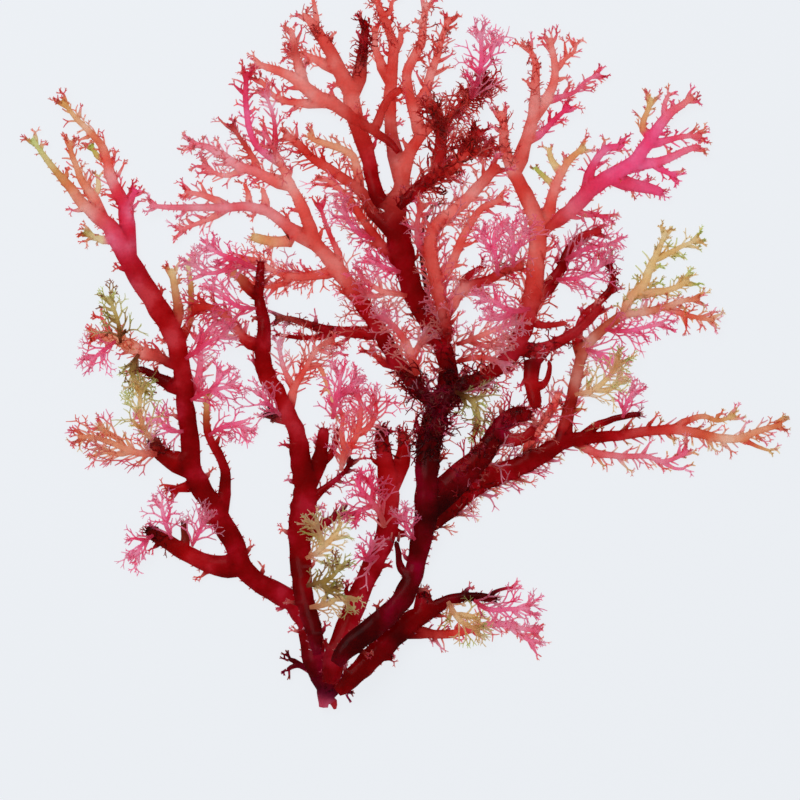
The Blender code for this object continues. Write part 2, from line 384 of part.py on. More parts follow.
    )),
    ("pink_spray_I2", PINK, (
        ("P26", "", "1.2 1 .8", "52.4,118.6 52.6,124 51.8,129.8", "comb fork"),
        ("P26a", "P26", "1 .8", "52.5,123.4 55.4,126 56.6,130", "comb fork"),
    )),
    ("pink_spray_H1", PINK, (
        ("P27", "", "1.5 1.2 .9", "57.4,107.2 52,106.5 47.5,109 43.2,110", "comb fork"),
        ("P27a", "P27", "1.2 .8", "52.4,106.4 48.6,104.2 46,105.4", "comb fork"),
    )),
    ("pink_spray_H2", PINK, (("P28", "", "1.4 1.1 .8", "67,120.8 72,123.6 77,124.9"
         " 82,125.4", "comb fork"),)),
    ("pink_spray_H3", PINK, (("P29", "", "1.3 1.1 .8", "64.6,115.4 70,115.8 75,117.6"
         " 78.4,121", "comb fork"),)),
    ("pink_spray_E1", PINK, (("P30", "", "1.4 1.1 .8", "78.2,101.4 84,101 90,102.2"
         " 95,103.2", "comb fork"),)),
    ("pink_spray_E2", PINK, (("P31", "", "1.3 1.1 .8", "72.8,96 77.2,94.4 82,91.6", "comb fork"),)),
    ("pink_spray_E3", PINK, (("P34", "", "1.2 1 .8", "83,76.8 84.3,81 87,85", "comb fork"),)),
    ("pink_spray_crown", PINK, (
        ("P42", "", "1.4 1.2 .8", "40.8,165.6 43,172 43.8,178 43.2,184.8", "comb fork"),
        ("P42a", "P42", "1 .8", "43.4,175 46.6,179 48,183", "comb fork"),
    )),
    ("pink_spray_F1", PINK, (
        ("P50", "", "1.4 1.2 .9", "41.6,26 45.6,23.4 51,23.4 57.5,23.6", "comb fork"),
    )),
    ("tan_tuft_lower", TAN, (
        ("T4", "", "1.7 1.5 1.2 .9", "34.4,25.6 36,22.5 38.6,19.6 43.4,17.4", "bristle fork"),
        ("T4a", "T4", "1.2 .9", "36.4,22 40,21.6 43.6,20.4", "comb fork"),
    )),
    ("tan_tuft_stem", TAN, (
        ("T1", "", "1.5 1.3 .9", "-5.2,37.6 -1.4,40 -1,43.5 -3,48", "comb fork"),
        ("T1a", "T1", "1.3 .9", "-1.2,40.6 2.6,43.6 4.8,48", "comb fork"),
    )),
    ("tan_tuft_fork", TAN, (("T2", "", "1.6 1.4 1", "-4,24.4 0.6,25.2 4.4,27 7,25.6", "comb fork"),)),
    ("olive_tuft_stem", OLIVE, (
        ("T3", "", "1.5 1.2 .8", "-5,30.2 -0.6,31.4 2.6,33.2 4.6,36.4", "bristle fork"),
        ("T3a", "T3", "1.1 .8", "-0.8,31.4 1.4,29 3.6,29.6", "bristle"),
    )),
    ("olive_tuft_centre", OLIVE, (
        ("T5", "", "1.5 1.2 .9", "36.2,84.2 40.4,82 42.6,78.6 43.2,73.6", "bristle fork"),
        ("T5a", "T5", "1.1 .8", "40.8,81.6 43.4,82.6 45.6,84.8", "bristle"),
    )),
    ("olive_tuft_left", OLIVE, (("T6", "", "1.2 1 .8", "-56.8,97.6 -57.6,103 -59,107"
         " -60.5,110.6", "bristle fork"),)),
    ("olive_hook", OLIVE, (("T7", "", "1.4 1.2 .9", "-52,94.6 -53.6,90.6 -52.8,87"
         " -49.6,85.2", "bristle fork"),)),
    ("tan_tuft_left", TAN, (("T8", "", "1.3 1.1 .8", "-48,70 -50.8,75 -51.6,80"
         " -51.2,85.4", "comb fork"),)),
    ("tan_brush", TAN, (
        ("T10", "", "2 1.6 1.3 .9", "-46.8,66.6 -53,67.2 -59.3,69.6 -64.5,71.4 -69,71.4", "bristle fork"),
        ("T10a", "T10", "1.2 .8", "-53,67.4 -58,66.6 -63.6,67.6", "comb fork"),
        ("T10b", "T10", "1.2 .8", "-54.6,67.8 -58.6,71.4 -63.6,74.6", "comb fork"),
    )),
    ("tan_spray_right", TAN, (
        ("T11", "", "1.6 1.3 .9", "69.8,83.2 75,84.6 79,88 82.6,93", "comb fork"),
        ("T11a", "T11", "1.2 .8", "75,84.6 79.6,84.6 83.6,87.4", "comb fork"),
    )),
)


def numbers(text):
    return [float(word) for word in text.split()]


def smooth_route(text):
    """Closely spaced points on a Catmull-Rom curve through the points of a route."""
    knots = np.array([[float(v) for v in word.split(",")] for word in text.split()])
    padded = np.vstack([2 * knots[0] - knots[1], knots, 2 * knots[-1] - knots[-2]])
    points = [knots[0]]
    for a, b, c, d in zip(padded, padded[1:], padded[2:], padded[3:]):
        count = max(2, math.ceil(np.linalg.norm(c - b) / FINE_STEP))
        for t in np.arange(1, count + 1) / count:
            points.append(0.5 * (2 * b + (c - a) * t + (2 * a - 5 * b + 4 * c - d) * t**2
                                 + (3 * b - a - 3 * c + d) * t**3))
    return np.array(points)


def unit(v):
    return v / np.maximum(np.linalg.norm(v, axis=-1, keepdims=True), 1e-9)


def cross(a, b):
    return a[..., 0] * b[..., 1] - a[..., 1] * b[..., 0]


class Blade:
    """A flat ribbon along a route: arrays of points, widths, thicknesses and heights by distance s."""

    def __init__(self, points, widths, blunt):
        self.points = points
        self.blunt = blunt
        self.widths = np.interp(np.linspace(0, 1, len(points)), np.linspace(0, 1, len(widths)), widths)
        self.parent = None
        self.side = 0
        self.root = (0.0, 0.0)
        self.first = 0.0
        self.ports = {1: [], -1: []}
        self.measure()

    def measure(self):
        steps = np.linalg.norm(np.diff(self.points, axis=0), axis=1)
        self.s = np.concatenate([[0], np.cumsum(steps)])
        self.tangents = unit(np.gradient(self.points, axis=0))
        self.normals = np.stack([-self.tangents[:, 1], self.tangents[:, 0]], axis=1)
        thickness = THICKNESS_AT_NO_WIDTH + THICKNESS_PER_WIDTH * self.widths
        self.thickness = np.clip(thickness, THINNEST, THICKEST)
        self.z = self.thickness / 2

    def at(self, s, values):
        if values.ndim == 1:
            return float(np.interp(s, self.s, values))
        return np.array([np.interp(s, self.s, column) for column in values.T])

    def edge(self, s, side):
        """A point on the left (side 1) or right (side -1) edge, with its top and bottom heights."""
        xy = self.at(s, self.points) + side * unit(self.at(s, self.normals)) * self.at(s, self.widths) / 2
        z = self.at(s, self.z)
        half = self.at(s, self.thickness) / 2
        return (*xy, z + half), (*xy, z - half)

    def nearest(self, points):
        """For each point: index of the nearest route point, and how far outside this blade's edge it is."""
        gaps = np.linalg.norm(points[:, None] - self.points[None], axis=2)
        index = gaps.argmin(axis=1)
        return index, gaps[np.arange(len(points)), index] - self.widths[index] / 2

    def trim(self, start):
        self.points = self.points[start:]
        self.widths = self.widths[start:]
        self.measure()


def free_port(parent, side, low, high, shift):
    """The port nearest to low..high that keeps clear of the parent's ends and other ports, or None."""
    length = high - low
    least = parent.first + PORT_MARGIN
    most = parent.s[-1] - PORT_MARGIN
    choices = [min(max(low, least), most - length)]
    for a, b in parent.ports[side]:
        choices += [a - PORT_MARGIN - length, b + PORT_MARGIN]
    for a in sorted(choices, key=lambda c: abs(c - low)):
        b = a + length
        if a < least - 1e-6 or b > most + 1e-6 or abs(a - low) > shift:
            continue
        if all(b <= p - PORT_MARGIN + 1e-6 or a >= q + PORT_MARGIN - 1e-6 for p, q in parent.ports[side]):
            return a, b
    return None


def attach(child, parent):
    """Opens a port in the parent's edge wall for the child. Returns False if there is no room for it."""
    index, outside = parent.nearest(child.points)
    start = int(np.argmax(outside > 0))
    if outside[start] <= 0 or len(child.points) - start < 3:
        return False
    child.trim(start)
    index, outside = parent.nearest(child.points)
    side = 1 if cross(parent.tangents[index[0]], child.points[0] - parent.points[index[0]]) > 0 else -1
    width = child.widths[0]
    lefts = child.points + child.normals * child.widths[:, None] / 2
    rights = child.points - child.normals * child.widths[:, None] / 2
    left_index, left_out = parent.nearest(lefts)
    right_index, right_out = parent.nearest(rights)
    clear = (left_out > CLEAR_OF_PARENT) & (right_out > CLEAR_OF_PARENT) & (child.s > LEAST_RUN * width)
    if not clear.any():
        return False
    ring = int(np.argmax(clear))
    if ring > len(child.points) - 2:
        ring = len(child.points) - 1
    tangent = parent.tangents[index[0]]
    heading = unit(child.points[ring] - child.points[0])
    length = min(width / max(abs(float(cross(tangent, heading))), LEAST_SINE), LONGEST_PORT * width)
    length = min(length, MOST_OF_EDGE * (parent.s[-1] - parent.first))
    web = WEB * width
    forward = float(heading @ tangent) >= 0
    inner = right_index if forward == (side == 1) else left_index
    meet = parent.s[inner[ring]]
    low = meet - length if forward else meet
    port = free_port(parent, side, low - web / 2, low + length + web / 2, width + PORT_SHIFT)
    if port is None:
        port = free_port(parent, side, low, low + length, width + PORT_SHIFT)
    if port is None:
        return False
    child.parent, child.side, child.root, child.first = parent, side, port, float(child.s[ring])
    parent.ports[side].append(port)
    return True


class Pile:
    """How high the pile is over each cell of a grid."""

    def __init__(self):
        self.top = np.zeros(GRID_CELLS)
        x = GRID_LOW[0] + CELL * np.arange(GRID_CELLS[0])
        y = GRID_LOW[1] + CELL * np.arange(GRID_CELLS[1])
        self.x, self.y = np.meshgrid(x, y, indexing="ij")

    def window(self, point, radius):
        low = [int((point[k] - radius - GRID_LOW[k]) / CELL) for k in (0, 1)]
        high = [int((point[k] + radius - GRID_LOW[k]) / CELL) + 2 for k in (0, 1)]
        area = (slice(low[0], high[0]), slice(low[1], high[1]))
        inside = (self.x[area] - point[0]) ** 2 + (self.y[area] - point[1]) ** 2 <= radius**2
        return area, inside

    def under(self, point, radius):
        area, inside = self.window(point, radius)
        return float((self.top[area] * inside).max())

    def lay(self, blade):
        tops = blade.z + blade.thickness / 2
        for point, width, top in zip(blade.points, blade.widths, tops):
            area, inside = self.window(point, width / 2 + LAY_MARGIN)
            self.top[area] = np.where(inside, np.maximum(self.top[area], top), self.top[area])

    def needed(self, blade):
        """The least height of the blade's middle that clears what lies under it."""
        reach = blade.widths / 2 + SIDE_CLEARANCE
        unders = np.array([self.under(point, radius) for point, radius in zip(blade.points, reach)])
        return blade.thickness / 2 + unders + np.where(unders > 0, LAYER_GAP, 0)


def slope_limited(heights, s, steepest):
    """The lowest profile over these heights that is no steeper than steepest."""
    heights = heights.copy()
    for i in range(1, len(heights)):
        heights[i] = max(heights[i], heights[i - 1] - steepest * (s[i] - s[i - 1]))
    for i in range(len(heights) - 2, -1, -1):
        heights[i] = max(heights[i], heights[i + 1] - steepest * (s[i + 1] - s[i]))
    return heights


def settle(blades, pile, lifts):
    """Gives each blade its heights: over the pile, level with its parent at the root, clear of its frond."""
    need = {}
    for blade in reversed(blades):
        lift = lifts[id(blade)] * (blade.s / blade.s[-1]) ** 2
        wanted = np.maximum(need.get(id(blade), 0), pile.needed(blade) + lift)
        wanted = slope_limited(wanted, blade.s, STEEPEST)
        need[id(blade)] = wanted
        if blade.parent is not None:
            middle = sum(blade.root) / 2
            pushed = wanted[0] - STEEPEST * np.maximum(0, np.abs(blade.parent.s - middle) - blade.widths[0])
            need[id(blade.parent)] = np.maximum(need.get(id(blade.parent), 0), pushed)
    for order, blade in enumerate(blades):
        wanted = need[id(blade)]
        for other in blades[:order]:
            if other is blade.parent or other.parent is blade:
                continue
            index, outside = other.nearest(blade.points)
            close = outside < blade.widths / 2 + IN_FROND_GAP
            over = other.z[index] + (other.thickness[index] + blade.thickness) / 2 + IN_FROND_GAP
            wanted = np.where(close, np.maximum(wanted, over), wanted)
        wanted = slope_limited(wanted, blade.s, STEEPEST)
        if blade.parent is not None:
            start = blade.parent.at(sum(blade.root) / 2, blade.parent.z)
            wanted = np.maximum(wanted, start - STEEPEST * blade.s)
            wanted = np.minimum(wanted, start + STEEPEST_IN_FROND * blade.s)
        blade.z = wanted


def branchlet(parent, s, side, length, width, lean, pick):
    """A small tapering side blade whose root is at s on one edge, bending a little along its parent."""
    tangent = parent.at(s, parent.tangents)
    normal = side * np.array([-tangent[1], tangent[0]])
    root = parent.at(s, parent.points) + normal * (parent.at(s, parent.widths) / 2 + LEVEL)
    out = math.cos(lean) * tangent + math.sin(lean) * normal
    bend = tangent * length * pick.uniform(*BEND)
    points = np.array([root + out * length * t + bend * t * t for t in np.linspace(0, 1, BRANCHLET_POINTS)])
    return Blade(points, [*(width * share for share in BRANCHLET_TAPER), BRANCHLET_TIP], False)


def room_for(twig, frond, pile):
    """Whether a branchlet at its parent's height clears the pile and every other blade of its frond."""
    middle = sum(twig.root) / 2
    start = twig.parent.at(middle, twig.parent.z)
    twig.thickness = np.minimum(twig.thickness, twig.parent.at(middle, twig.parent.thickness))
    twig.z = np.full(len(twig.s), start)
    if (pile.needed(twig)[1:] > start + LEVEL).any():
        return False
    for other in frond:
        if other is twig.parent:
            _, outside = other.nearest(twig.points[TOUCHES_PARENT:])
            if (outside < IN_FROND_GAP).any():
                return False
            continue
        index, outside = other.nearest(twig.points[TOUCHES_OTHERS:])
        thick = (other.thickness[index] + twig.thickness[TOUCHES_OTHERS:]) / 2
        beside = outside < twig.widths[TOUCHES_OTHERS:] / 2 + TWIG_CLEARANCE
        if (beside & (np.abs(other.z[index] - start) - thick < TWIG_HEADROOM)).any():
            return False
    return True


def dress(blade, dressing, frond, pile, pick):
    """Grows branchlets along a blade's edges and a fork at its tip."""
    kind = {"teeth": TEETH, "comb": COMB, "bristle": BRISTLE}.get(dressing.split()[0])
    wanted = []
    if "fork" in dressing:
        shortest, longest, width, least, most = TIP_FORK
        for side in (1, -1):
            spot = blade.s[-1] - pick.uniform(*TIP_FORK_BACK)
            wanted.append((spot, side, pick.uniform(shortest, longest), width, pick.uniform(least, most)))
    if kind:
        spacing, shortest, longest, width, least, most = kind
        s = blade.first + pick.uniform(*FIRST_SPACING) * spacing
        side = pick.choice((1, -1))
        while s < blade.s[-1] - LAST_BACK:
            wanted.append((s, side, pick.uniform(shortest, longest), width, pick.uniform(least, most)))
            s += spacing * pick.uniform(*NEXT_SPACING)
            side = -side if pick.random() < CHANGE_SIDE else side
    for s, side, length, width, lean in wanted:
        width = min(width, MOST_OF_BLADE * blade.at(s, blade.widths) + WIDTH_ADDED)
        twig = branchlet(blade, s, side, length, width, math.radians(lean), pick)
        if attach(twig, blade):
            if room_for(twig, frond, pile):
                frond.append(twig)
            else:
                blade.ports[twig.side].remove(twig.root)


def fitted(blade):
    """Where to put cross-sections, so that straight runs between them stay near the smooth route."""
    start = int(np.searchsorted(blade.s, blade.first - 1e-9))
    shape = np.column_stack([blade.points, blade.widths / 2, 2 * blade.z, blade.thickness / 2])
    keep = {start, len(shape) - 1}
    spans = [(start, len(shape) - 1)]
    while spans:
        low, high = spans.pop()
        if high - low < 2:
            continue
        along = (blade.s[low:high + 1] - blade.s[low]) / (blade.s[high] - blade.s[low])
        straight = shape[low] + along[:, None] * (shape[high] - shape[low])
        strays = np.linalg.norm(shape[low:high + 1] - straight, axis=1)
        worst = int(strays.argmax())
        if strays[worst] > FIT:
            keep.add(low + worst)
            spans += [(low, low + worst), (low + worst, high)]
    return [float(blade.s[i]) for i in sorted(keep)]


class Skin:
    """Vertices and triangles of one frond."""

    def __init__(self):
        self.vertices = []
        self.faces = []

    def pair(self, blade, s, side):
        top, bottom = blade.edge(s, side)
        self.vertices += [top, bottom]
        return s, len(self.vertices) - 2, len(self.vertices) - 1

    def face(self, *corners):
        for i in range(1, len(corners) - 1):
            triangle = (corners[0], corners[i], corners[i + 1])
            if len(set(triangle)) == 3:
                self.faces.append(triangle)

    def edge_line(self, blade, side, rings, start, end):
        """The vertices down one edge: its root pair, its sections and ports, its tip pair."""
        ports = sorted(blade.ports[side])
        stops = [s for s in rings
                 if all(s < a - PORT_MARGIN / 2 or s > b + PORT_MARGIN / 2 for a, b in ports)]
        stops = sorted(set(stops) | {s for port in ports for s in port})
        return [start] + [self.pair(blade, s, side) for s in stops] + [end]

    def grow(self, blade, children, roots):
        rings = fitted(blade)
        last = blade.s[-1]
        rings.pop()
        if blade.parent is None:
            start = {side: self.pair(blade, rings[0], side) for side in (1, -1)}
            rings.pop(0)
            self.face(start[1][1], start[1][2], start[-1][2], start[-1][1])
        else:
            start = roots[id(blade)]
            if blade.first >= last - 1e-6:
                rings = []
        if blade.blunt:
            end = {side: self.pair(blade, last, side) for side in (1, -1)}
            self.face(end[-1][1], end[-1][2], end[1][2], end[1][1])
        else:
            x, y = blade.points[-1]
            half = blade.thickness[-1] / 2
            self.vertices += [(x, y, blade.z[-1] + half), (x, y, blade.z[-1] - half)]
            end = dict.fromkeys((1, -1), (last, len(self.vertices) - 2, len(self.vertices) - 1))
        lines = {side: self.edge_line(blade, side, rings, start[side], end[side]) for side in (1, -1)}
        left, right = lines[1], lines[-1]
        i = j = 0
        while i < len(left) - 1 or j < len(right) - 1:
            if j == len(right) - 1 or (i < len(left) - 1 and left[i + 1][0] <= right[j + 1][0]):
                near, i = left[i + 1], i + 1
                corners = (left[i - 1], right[j], near)
            else:
                near, j = right[j + 1], j + 1
                corners = (left[i], right[j - 1], near)
            self.face(*(c[1] for c in corners))
            self.face(*(c[2] for c in reversed(corners)))
        for side in (1, -1):
            line = lines[side]
            held = {child.root[0]: child for child in children.get(id(blade), ()) if child.side == side}
            for near, far in zip(line, line[1:]):
                child = held.get(near[0]) if near is not line[0] else None
                if child is not None:
                    roots[id(child)] = {side: (0.0, *near[1:]), -side: (0.0, *far[1:])}
                elif side == 1:
                    self.face(near[1], far[1], far[2], near[2])
                else:
                    self.face(near[1], near[2], far[2], far[1])
        for child in children.get(id(blade), ()):
            self.grow(child, children, roots)


def lay_frond(specs, pile, thick):
    """Lays one frond on the pile. Returns its hand-drawn blades, and all its blades with the branchlets."""
    named = {}
    lifts = {}
    for name, parent, widths, route, dressing in specs:
        blade = Blade(smooth_route(route), WIDER * np.array(numbers(widths)), "blunt" in dressing)
        if parent and not attach(blade, named[parent]):
            raise ValueError(f"no room for blade {name} on {parent}")
        if thick:
            blade.thickness = np.full(len(blade.s), thick * (HOLDFAST_TAPER if parent else 1))
        elif not parent:
            blade.widths *= 1 - (1 - BASE_SHARE) * np.clip(1 - blade.s / BASE_RUN, 0, 1) ** 2
        if blade.blunt:
            left = (blade.s[-1] - blade.s) / BLUNT_RUN
            blade.widths *= 1 - (1 - BLUNT_SHARE) * np.clip(1 - left, 0, 1) ** 2
        pick = random.Random("lift " + name)
        lifts[id(blade)] = pick.uniform(0, TIP_LIFT) if blade.s[-1] > LEAST_LIFTED and not thick else 0
        named[name] = blade
    blades = list(named.values())
    settle(blades, pile, lifts)
    frond = list(blades)
    for spec, blade in zip(specs, blades):
        dress(blade, spec[4], frond, pile, random.Random("dress " + spec[0]))
    for blade in frond:
        pile.lay(blade)
    return blades, frond


def frond_mesh(frond):
    """The closed skin of one frond: its vertices and triangles."""
    children = {}
    for blade in frond:
        if blade.parent is not None:
            children.setdefault(id(blade.parent), []).append(blade)
    skin = Skin()
    skin.grow(frond[0], children, {})
    return skin.vertices, skin.faces


def material(name, colour):
    made = bpy.data.materials.new(name)
    made.use_nodes = True
    shader = made.node_tree.nodes["Principled BSDF"]
    shader.inputs["Base Color"].default_value = (*colour, 1)
    shader.inputs["Roughness"].default_value = 0.35
    shader.inputs["Metallic"].default_value = 0
    made.diffuse_color = (*colour, 1)
    return made


def main():
    for existing in list(bpy.data.objects):
        bpy.data.objects.remove(existing)
    pile = Pile()
    for name, colour, specs in NODES:
        thick = HOLDFAST_THICKNESS if name == "holdfast" else 0
        vertices, faces = frond_mesh(lay_frond(specs, pile, thick)[1])
        mesh = bpy.data.meshes.new(name)
        mesh.from_pydata([tuple(MM * v for v in vertex) for vertex in vertices], [], faces)
        mesh.materials.append(material(name + "_colour", colour))
        bpy.context.scene.collection.objects.link(bpy.data.objects.new(name, mesh))


main()
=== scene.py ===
"""Irish moss seaweed, looks: finer fronds on the same routes, wet translucent tissue, pale floor, soft light.

Routes, widths and thicknesses are in millimetres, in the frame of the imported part. Each fine frond takes the
place of the node with its name: it has the node's blades and branchlets, closer cross-sections with a raised
middle and thin ragged edges, and many more small shoots.
"""

import json
import math
import random

import bpy
import numpy as np
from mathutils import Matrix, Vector

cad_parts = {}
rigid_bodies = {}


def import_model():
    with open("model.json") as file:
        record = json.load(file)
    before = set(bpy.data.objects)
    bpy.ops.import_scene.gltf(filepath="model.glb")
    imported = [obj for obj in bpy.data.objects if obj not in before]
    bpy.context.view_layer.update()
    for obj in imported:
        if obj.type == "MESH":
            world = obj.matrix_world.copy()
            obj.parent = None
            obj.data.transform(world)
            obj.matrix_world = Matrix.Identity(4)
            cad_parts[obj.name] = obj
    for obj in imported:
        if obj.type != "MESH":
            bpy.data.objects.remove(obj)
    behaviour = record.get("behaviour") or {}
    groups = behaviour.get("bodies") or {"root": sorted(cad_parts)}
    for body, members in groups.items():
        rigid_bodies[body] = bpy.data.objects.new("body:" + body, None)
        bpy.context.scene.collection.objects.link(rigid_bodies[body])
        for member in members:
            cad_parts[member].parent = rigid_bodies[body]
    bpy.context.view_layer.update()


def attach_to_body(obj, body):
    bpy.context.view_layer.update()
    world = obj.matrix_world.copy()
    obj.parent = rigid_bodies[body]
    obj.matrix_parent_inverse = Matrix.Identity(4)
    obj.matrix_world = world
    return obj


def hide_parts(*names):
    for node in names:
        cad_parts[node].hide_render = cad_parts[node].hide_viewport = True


MM = 0.001
VIEW_CENTRE = (0.021, 0.08176)  # point on the floor under the camera
VIEW_WIDTH = 0.224

FINE_STEP = 0.5  # spacing of the points that a route is smoothed into
THICKNESS_AT_NO_WIDTH = 0.55
THINNEST = 0.64
THICKEST = 1.6
THICKNESS_PER_WIDTH = 0.17
HOLDFAST_THICKNESS = 3.2
HOLDFAST_TAPER = 0.6  # thickness of the holdfast's side arms against its foot
LAYER_GAP = 0.42  # clear height between a frond and what it lies on
SIDE_CLEARANCE = 0.75  # how far beside a blade something must be to lie level with it
STEEPEST = 0.32  # rise over run of a blade that climbs over another
STEEPEST_IN_FROND = 0.8
TIP_LIFT = 2.4  # most that a listed blade curls up at its tip
LEAST_LIFTED = 12  # shorter blades don't curl up
CELL = 0.5  # grid that records how high the pile is
GRID_LOW = (-100.0, -20.0)
GRID_CELLS = (500, 460)
IN_FROND_GAP = 0.3  # between blades of one frond that cross
LAY_MARGIN = 0.35  # how far beside a blade the pile counts as covered
BASE_RUN = 7.0  # length over which a frond's base widens
BASE_SHARE = 0.62  # width at its very base
BLUNT_RUN = 1.3  # length over which a blunt tip narrows
BLUNT_SHARE = 0.6
WIDER = 1.14  # widths of the listed blades, against the numbers in NODE_TABLE
PORT_MARGIN = 0.35  # length of edge wall kept between two side blades
LONGEST_PORT = 2.2  # in widths of the side blade
PORT_SHIFT = 1.0  # how far, past its own width, a side blade's root may move to find room
WEB = 0.35  # how much longer a port is than its side blade is wide, for the web in the crotch
LEAST_SINE = 0.45  # of the angle at which a side blade leaves, when its port is measured
LEAST_RUN = 0.3  # of a side blade's width, before its first section
MOST_OF_EDGE = 0.5  # of its parent's length, for one port
CLEAR_OF_PARENT = 0.1  # how far both edges of a side blade's first section stand off its parent

# Small branchlets along the edges: mean spacing, shortest, longest, root width, least and most lean in
# degrees
TEETH = (9.5, 1.2, 2.6, 1.1, 40, 72)
COMB = (5.2, 2.2, 4.6, 0.95, 36, 64)
BRISTLE = (4.0, 1.4, 3.2, 0.85, 30, 75)
TIP_FORK = (2.0, 3.6, 0.95, 24, 40)  # shortest, longest, root width, least and most lean
TIP_FORK_BACK = (0.8, 1.6)  # how far behind the tip a fork starts
FIRST_SPACING = (0.5, 1.0)  # against the mean spacing
NEXT_SPACING = (0.7, 1.3)
LAST_BACK = 1.2  # no branchlet along the edges starts nearer to the tip
CHANGE_SIDE = 0.8  # how often the next branchlet is on the other edge
MOST_OF_BLADE = 0.8  # widest root of a branchlet, against its blade, before a small addition
WIDTH_ADDED = 0.25
BRANCHLET_POINTS = 7
TOUCHES_PARENT = 3  # points of a branchlet, from its root, that may be near its parent
TOUCHES_OTHERS = 2
BEND = (-0.12, 0.22)  # how far a branchlet bends along its parent, in its own lengths
BRANCHLET_TAPER = (1.0, 0.75)  # widths against the root width, before the tip
BRANCHLET_TIP = 0.35
TWIG_CLEARANCE = 0.35  # beside a branchlet
TWIG_HEADROOM = 0.25
LEVEL = 0.02  # heights nearer than this count as equal
TOUCH = 1e-6  # distances nearer than this count as equal
NO_LENGTH = 1e-9  # least length that a vector is divided by
LEAST_POINTS = 3  # of a side blade outside its parent

# Small forking shoots along both edges: mean spacing, shortest, longest, root width, least and most lean in
# degrees, fewest and most forks
FRINGES = {
    "teeth": (1.7, 0.5, 1.5, 0.42, 30, 80, 0, 1),
    "comb": (2.1, 1.3, 4.2, 0.62, 28, 60, 0, 2),
    "bristle": (1.5, 1.2, 3.2, 0.48, 25, 78, 0, 2),
    "lace": (2.2, 4.4, 8.6, 0.62, 24, 52, 2, 4),
}
LACY = ("spray", "comb", "tuft", "tree", "brush", "hook")  # nodes that are lace from end to end
# On each tip: shortest, longest, width, least and most lean, most forks
TWIG_TIP = (1.0, 2.4, 0.6, 12, 42, 2)
BLADE_TIP = (1.4, 3.6, 0.7, 8, 50, 2)
LACE_TIP = (3.0, 6.5, 0.62, 8, 40, 4)
BLUNT_TIP = (1.2, 3.4, 0.5, 0, 65, 2)
BLUNT_SHOOTS = 7
# Where shoots stand along a blade's edge, and how long they are
FIRST_GAP = (0.2, 1)  # against the mean spacing
NEXT_GAP = (0.4, 1.6)
END_LENGTH = 0.5  # length of a shoot at the blade's very end against one further back
END_RUN = 9  # twice the length over which they grow from the one to the other
FORKS_SHORTEN = 0.5  # how much shorter each fork makes the shoot under it
TUFT_BACK = (0.2, 0.8)  # how far behind a tip its shoots start
BLUNT_BACK = (0.4, 0.8)
FRESH = 0.55  # share of the tip's colour at the root of the longer shoots on dark blades
TANGLE_CURL = 1.5  # most that a tangled shoot bends, in radians
TANGLE_LIFT = 0.8  # height of a tangled shoot's root over its blade's middle, against the blade's top
TANGLE_LENGTHS = (0.35, 1)  # against the longest
TANGLE_FORKS = (1, 3)

# Small shoots
CURL = 0.5  # most that a shoot bends, in radians
SHOOT_SECTIONS = (0.0, 0.5, 1.0)
SHOOT_CORES = (0.1, 0.5)  # at its sides, then at its top and bottom: 0 is an edge, 1 a blade's middle
SHOOT_DEPTH = 0.45  # thickness against width
LEAST_HALF = 0.07  # half of its least thickness
LEAST_HEIGHT = 0.12  # of its middle
ROOT_ACROSS = 0.4  # how far from its blade's middle its root is, in the blade's widths
ROOT_HEIGHTS = (-0.1, 0.1)  # against the middle of the blade's thickness
SHOOT_RISE = (-0.08, 0.2)  # rise over run
TIP_SHARE = 0.5  # width of its tip against its root
TIP_BRIGHTNESS = (0.75, 1.1)
SHOOT_LIGHT = 0.66  # painted light: exponent that makes its tint lighter than its blade's, for the light a thin shoot lets through
FORK_ANGLE = (16, 42)
FORK_SHARE = (0.5, 0.95)  # length of a fork's arm against the shoot it grows from
FORK_WIDTH = 0.8  # width where it forks, and of its arms
FORK_BACK = 0.4  # how far an arm's root is sunk in it, in its widths
ARM_RISE = (-0.15, 0.2)  # added to its rise
LEAST_ARM = 0.45
FORKS_AGAIN = 0.75  # how often an arm forks too

# Fine blades
FLARE = 0.35  # how much wider a side blade is where it leaves its parent
EDGE_SHARE = 0.3  # thickness of an edge against the middle
RAGGED = 0.1  # how far an edge wanders, in widths
RAG_PER_WIDTH = 2.2  # wavelength of that, with the next value added
RAG_LEAST = 1
RUFFLE = 0.5  # most that an edge is raised
RUFFLE_WAVE = 9
RUFFLE_RUN = 4  # length over which the ruffle begins
RUFFLE_WIDTH = 5  # a narrower blade is ruffled less
WAVE_PARTS = 3
WAVE_RATES = (0.6, 1.6)  # of a wave's parts, against the rate of its wavelength
LONGEST_SECTION = 1.5
SECTION_PER_WIDTH = 0.3  # length of a section, with the next value added
SECTION_LEAST = 0.4
TIP_HALF = 0.2  # half the thickness of a pointed tip, against the blade's
TIP_CORE = 0.3  # 0 is an edge, 1 a blade's middle

# Tissue: scale and detail of the noises, and the part of each noise that is used
PATCHES = (130, 4)
PATCH_RANGE = (0.36, 0.64)
PALE_PATCH = 0.3  # how far pale patches go against dark ones
GRAIN = (1400, 2)
GRAIN_RANGE = (0.3, 0.7)
GRAIN_SHADES = (0.88, 1.12)
WRINKLES = (700, 4)
EDGE_SHADE = 0.92  # painted shade: an edge's brightness against the middle's
THROUGH_PALER = 0.43  # exponent that makes light through the tissue paler than its surface
THROUGH = 0.92  # share of the light that comes through
# Roughness of each slot's tissue, and how far its patches go
LOOKS = {
    "crimson": (0.28, 0.85), "dark_crimson": (0.26, 0.7), "salmon": (0.32, 0.7), "rose": (0.32, 0.6),
    "pink": (0.36, 0.4), "tan": (0.4, 0.5), "olive": (0.45, 0.5), "purple": (0.3, 0.6),
}

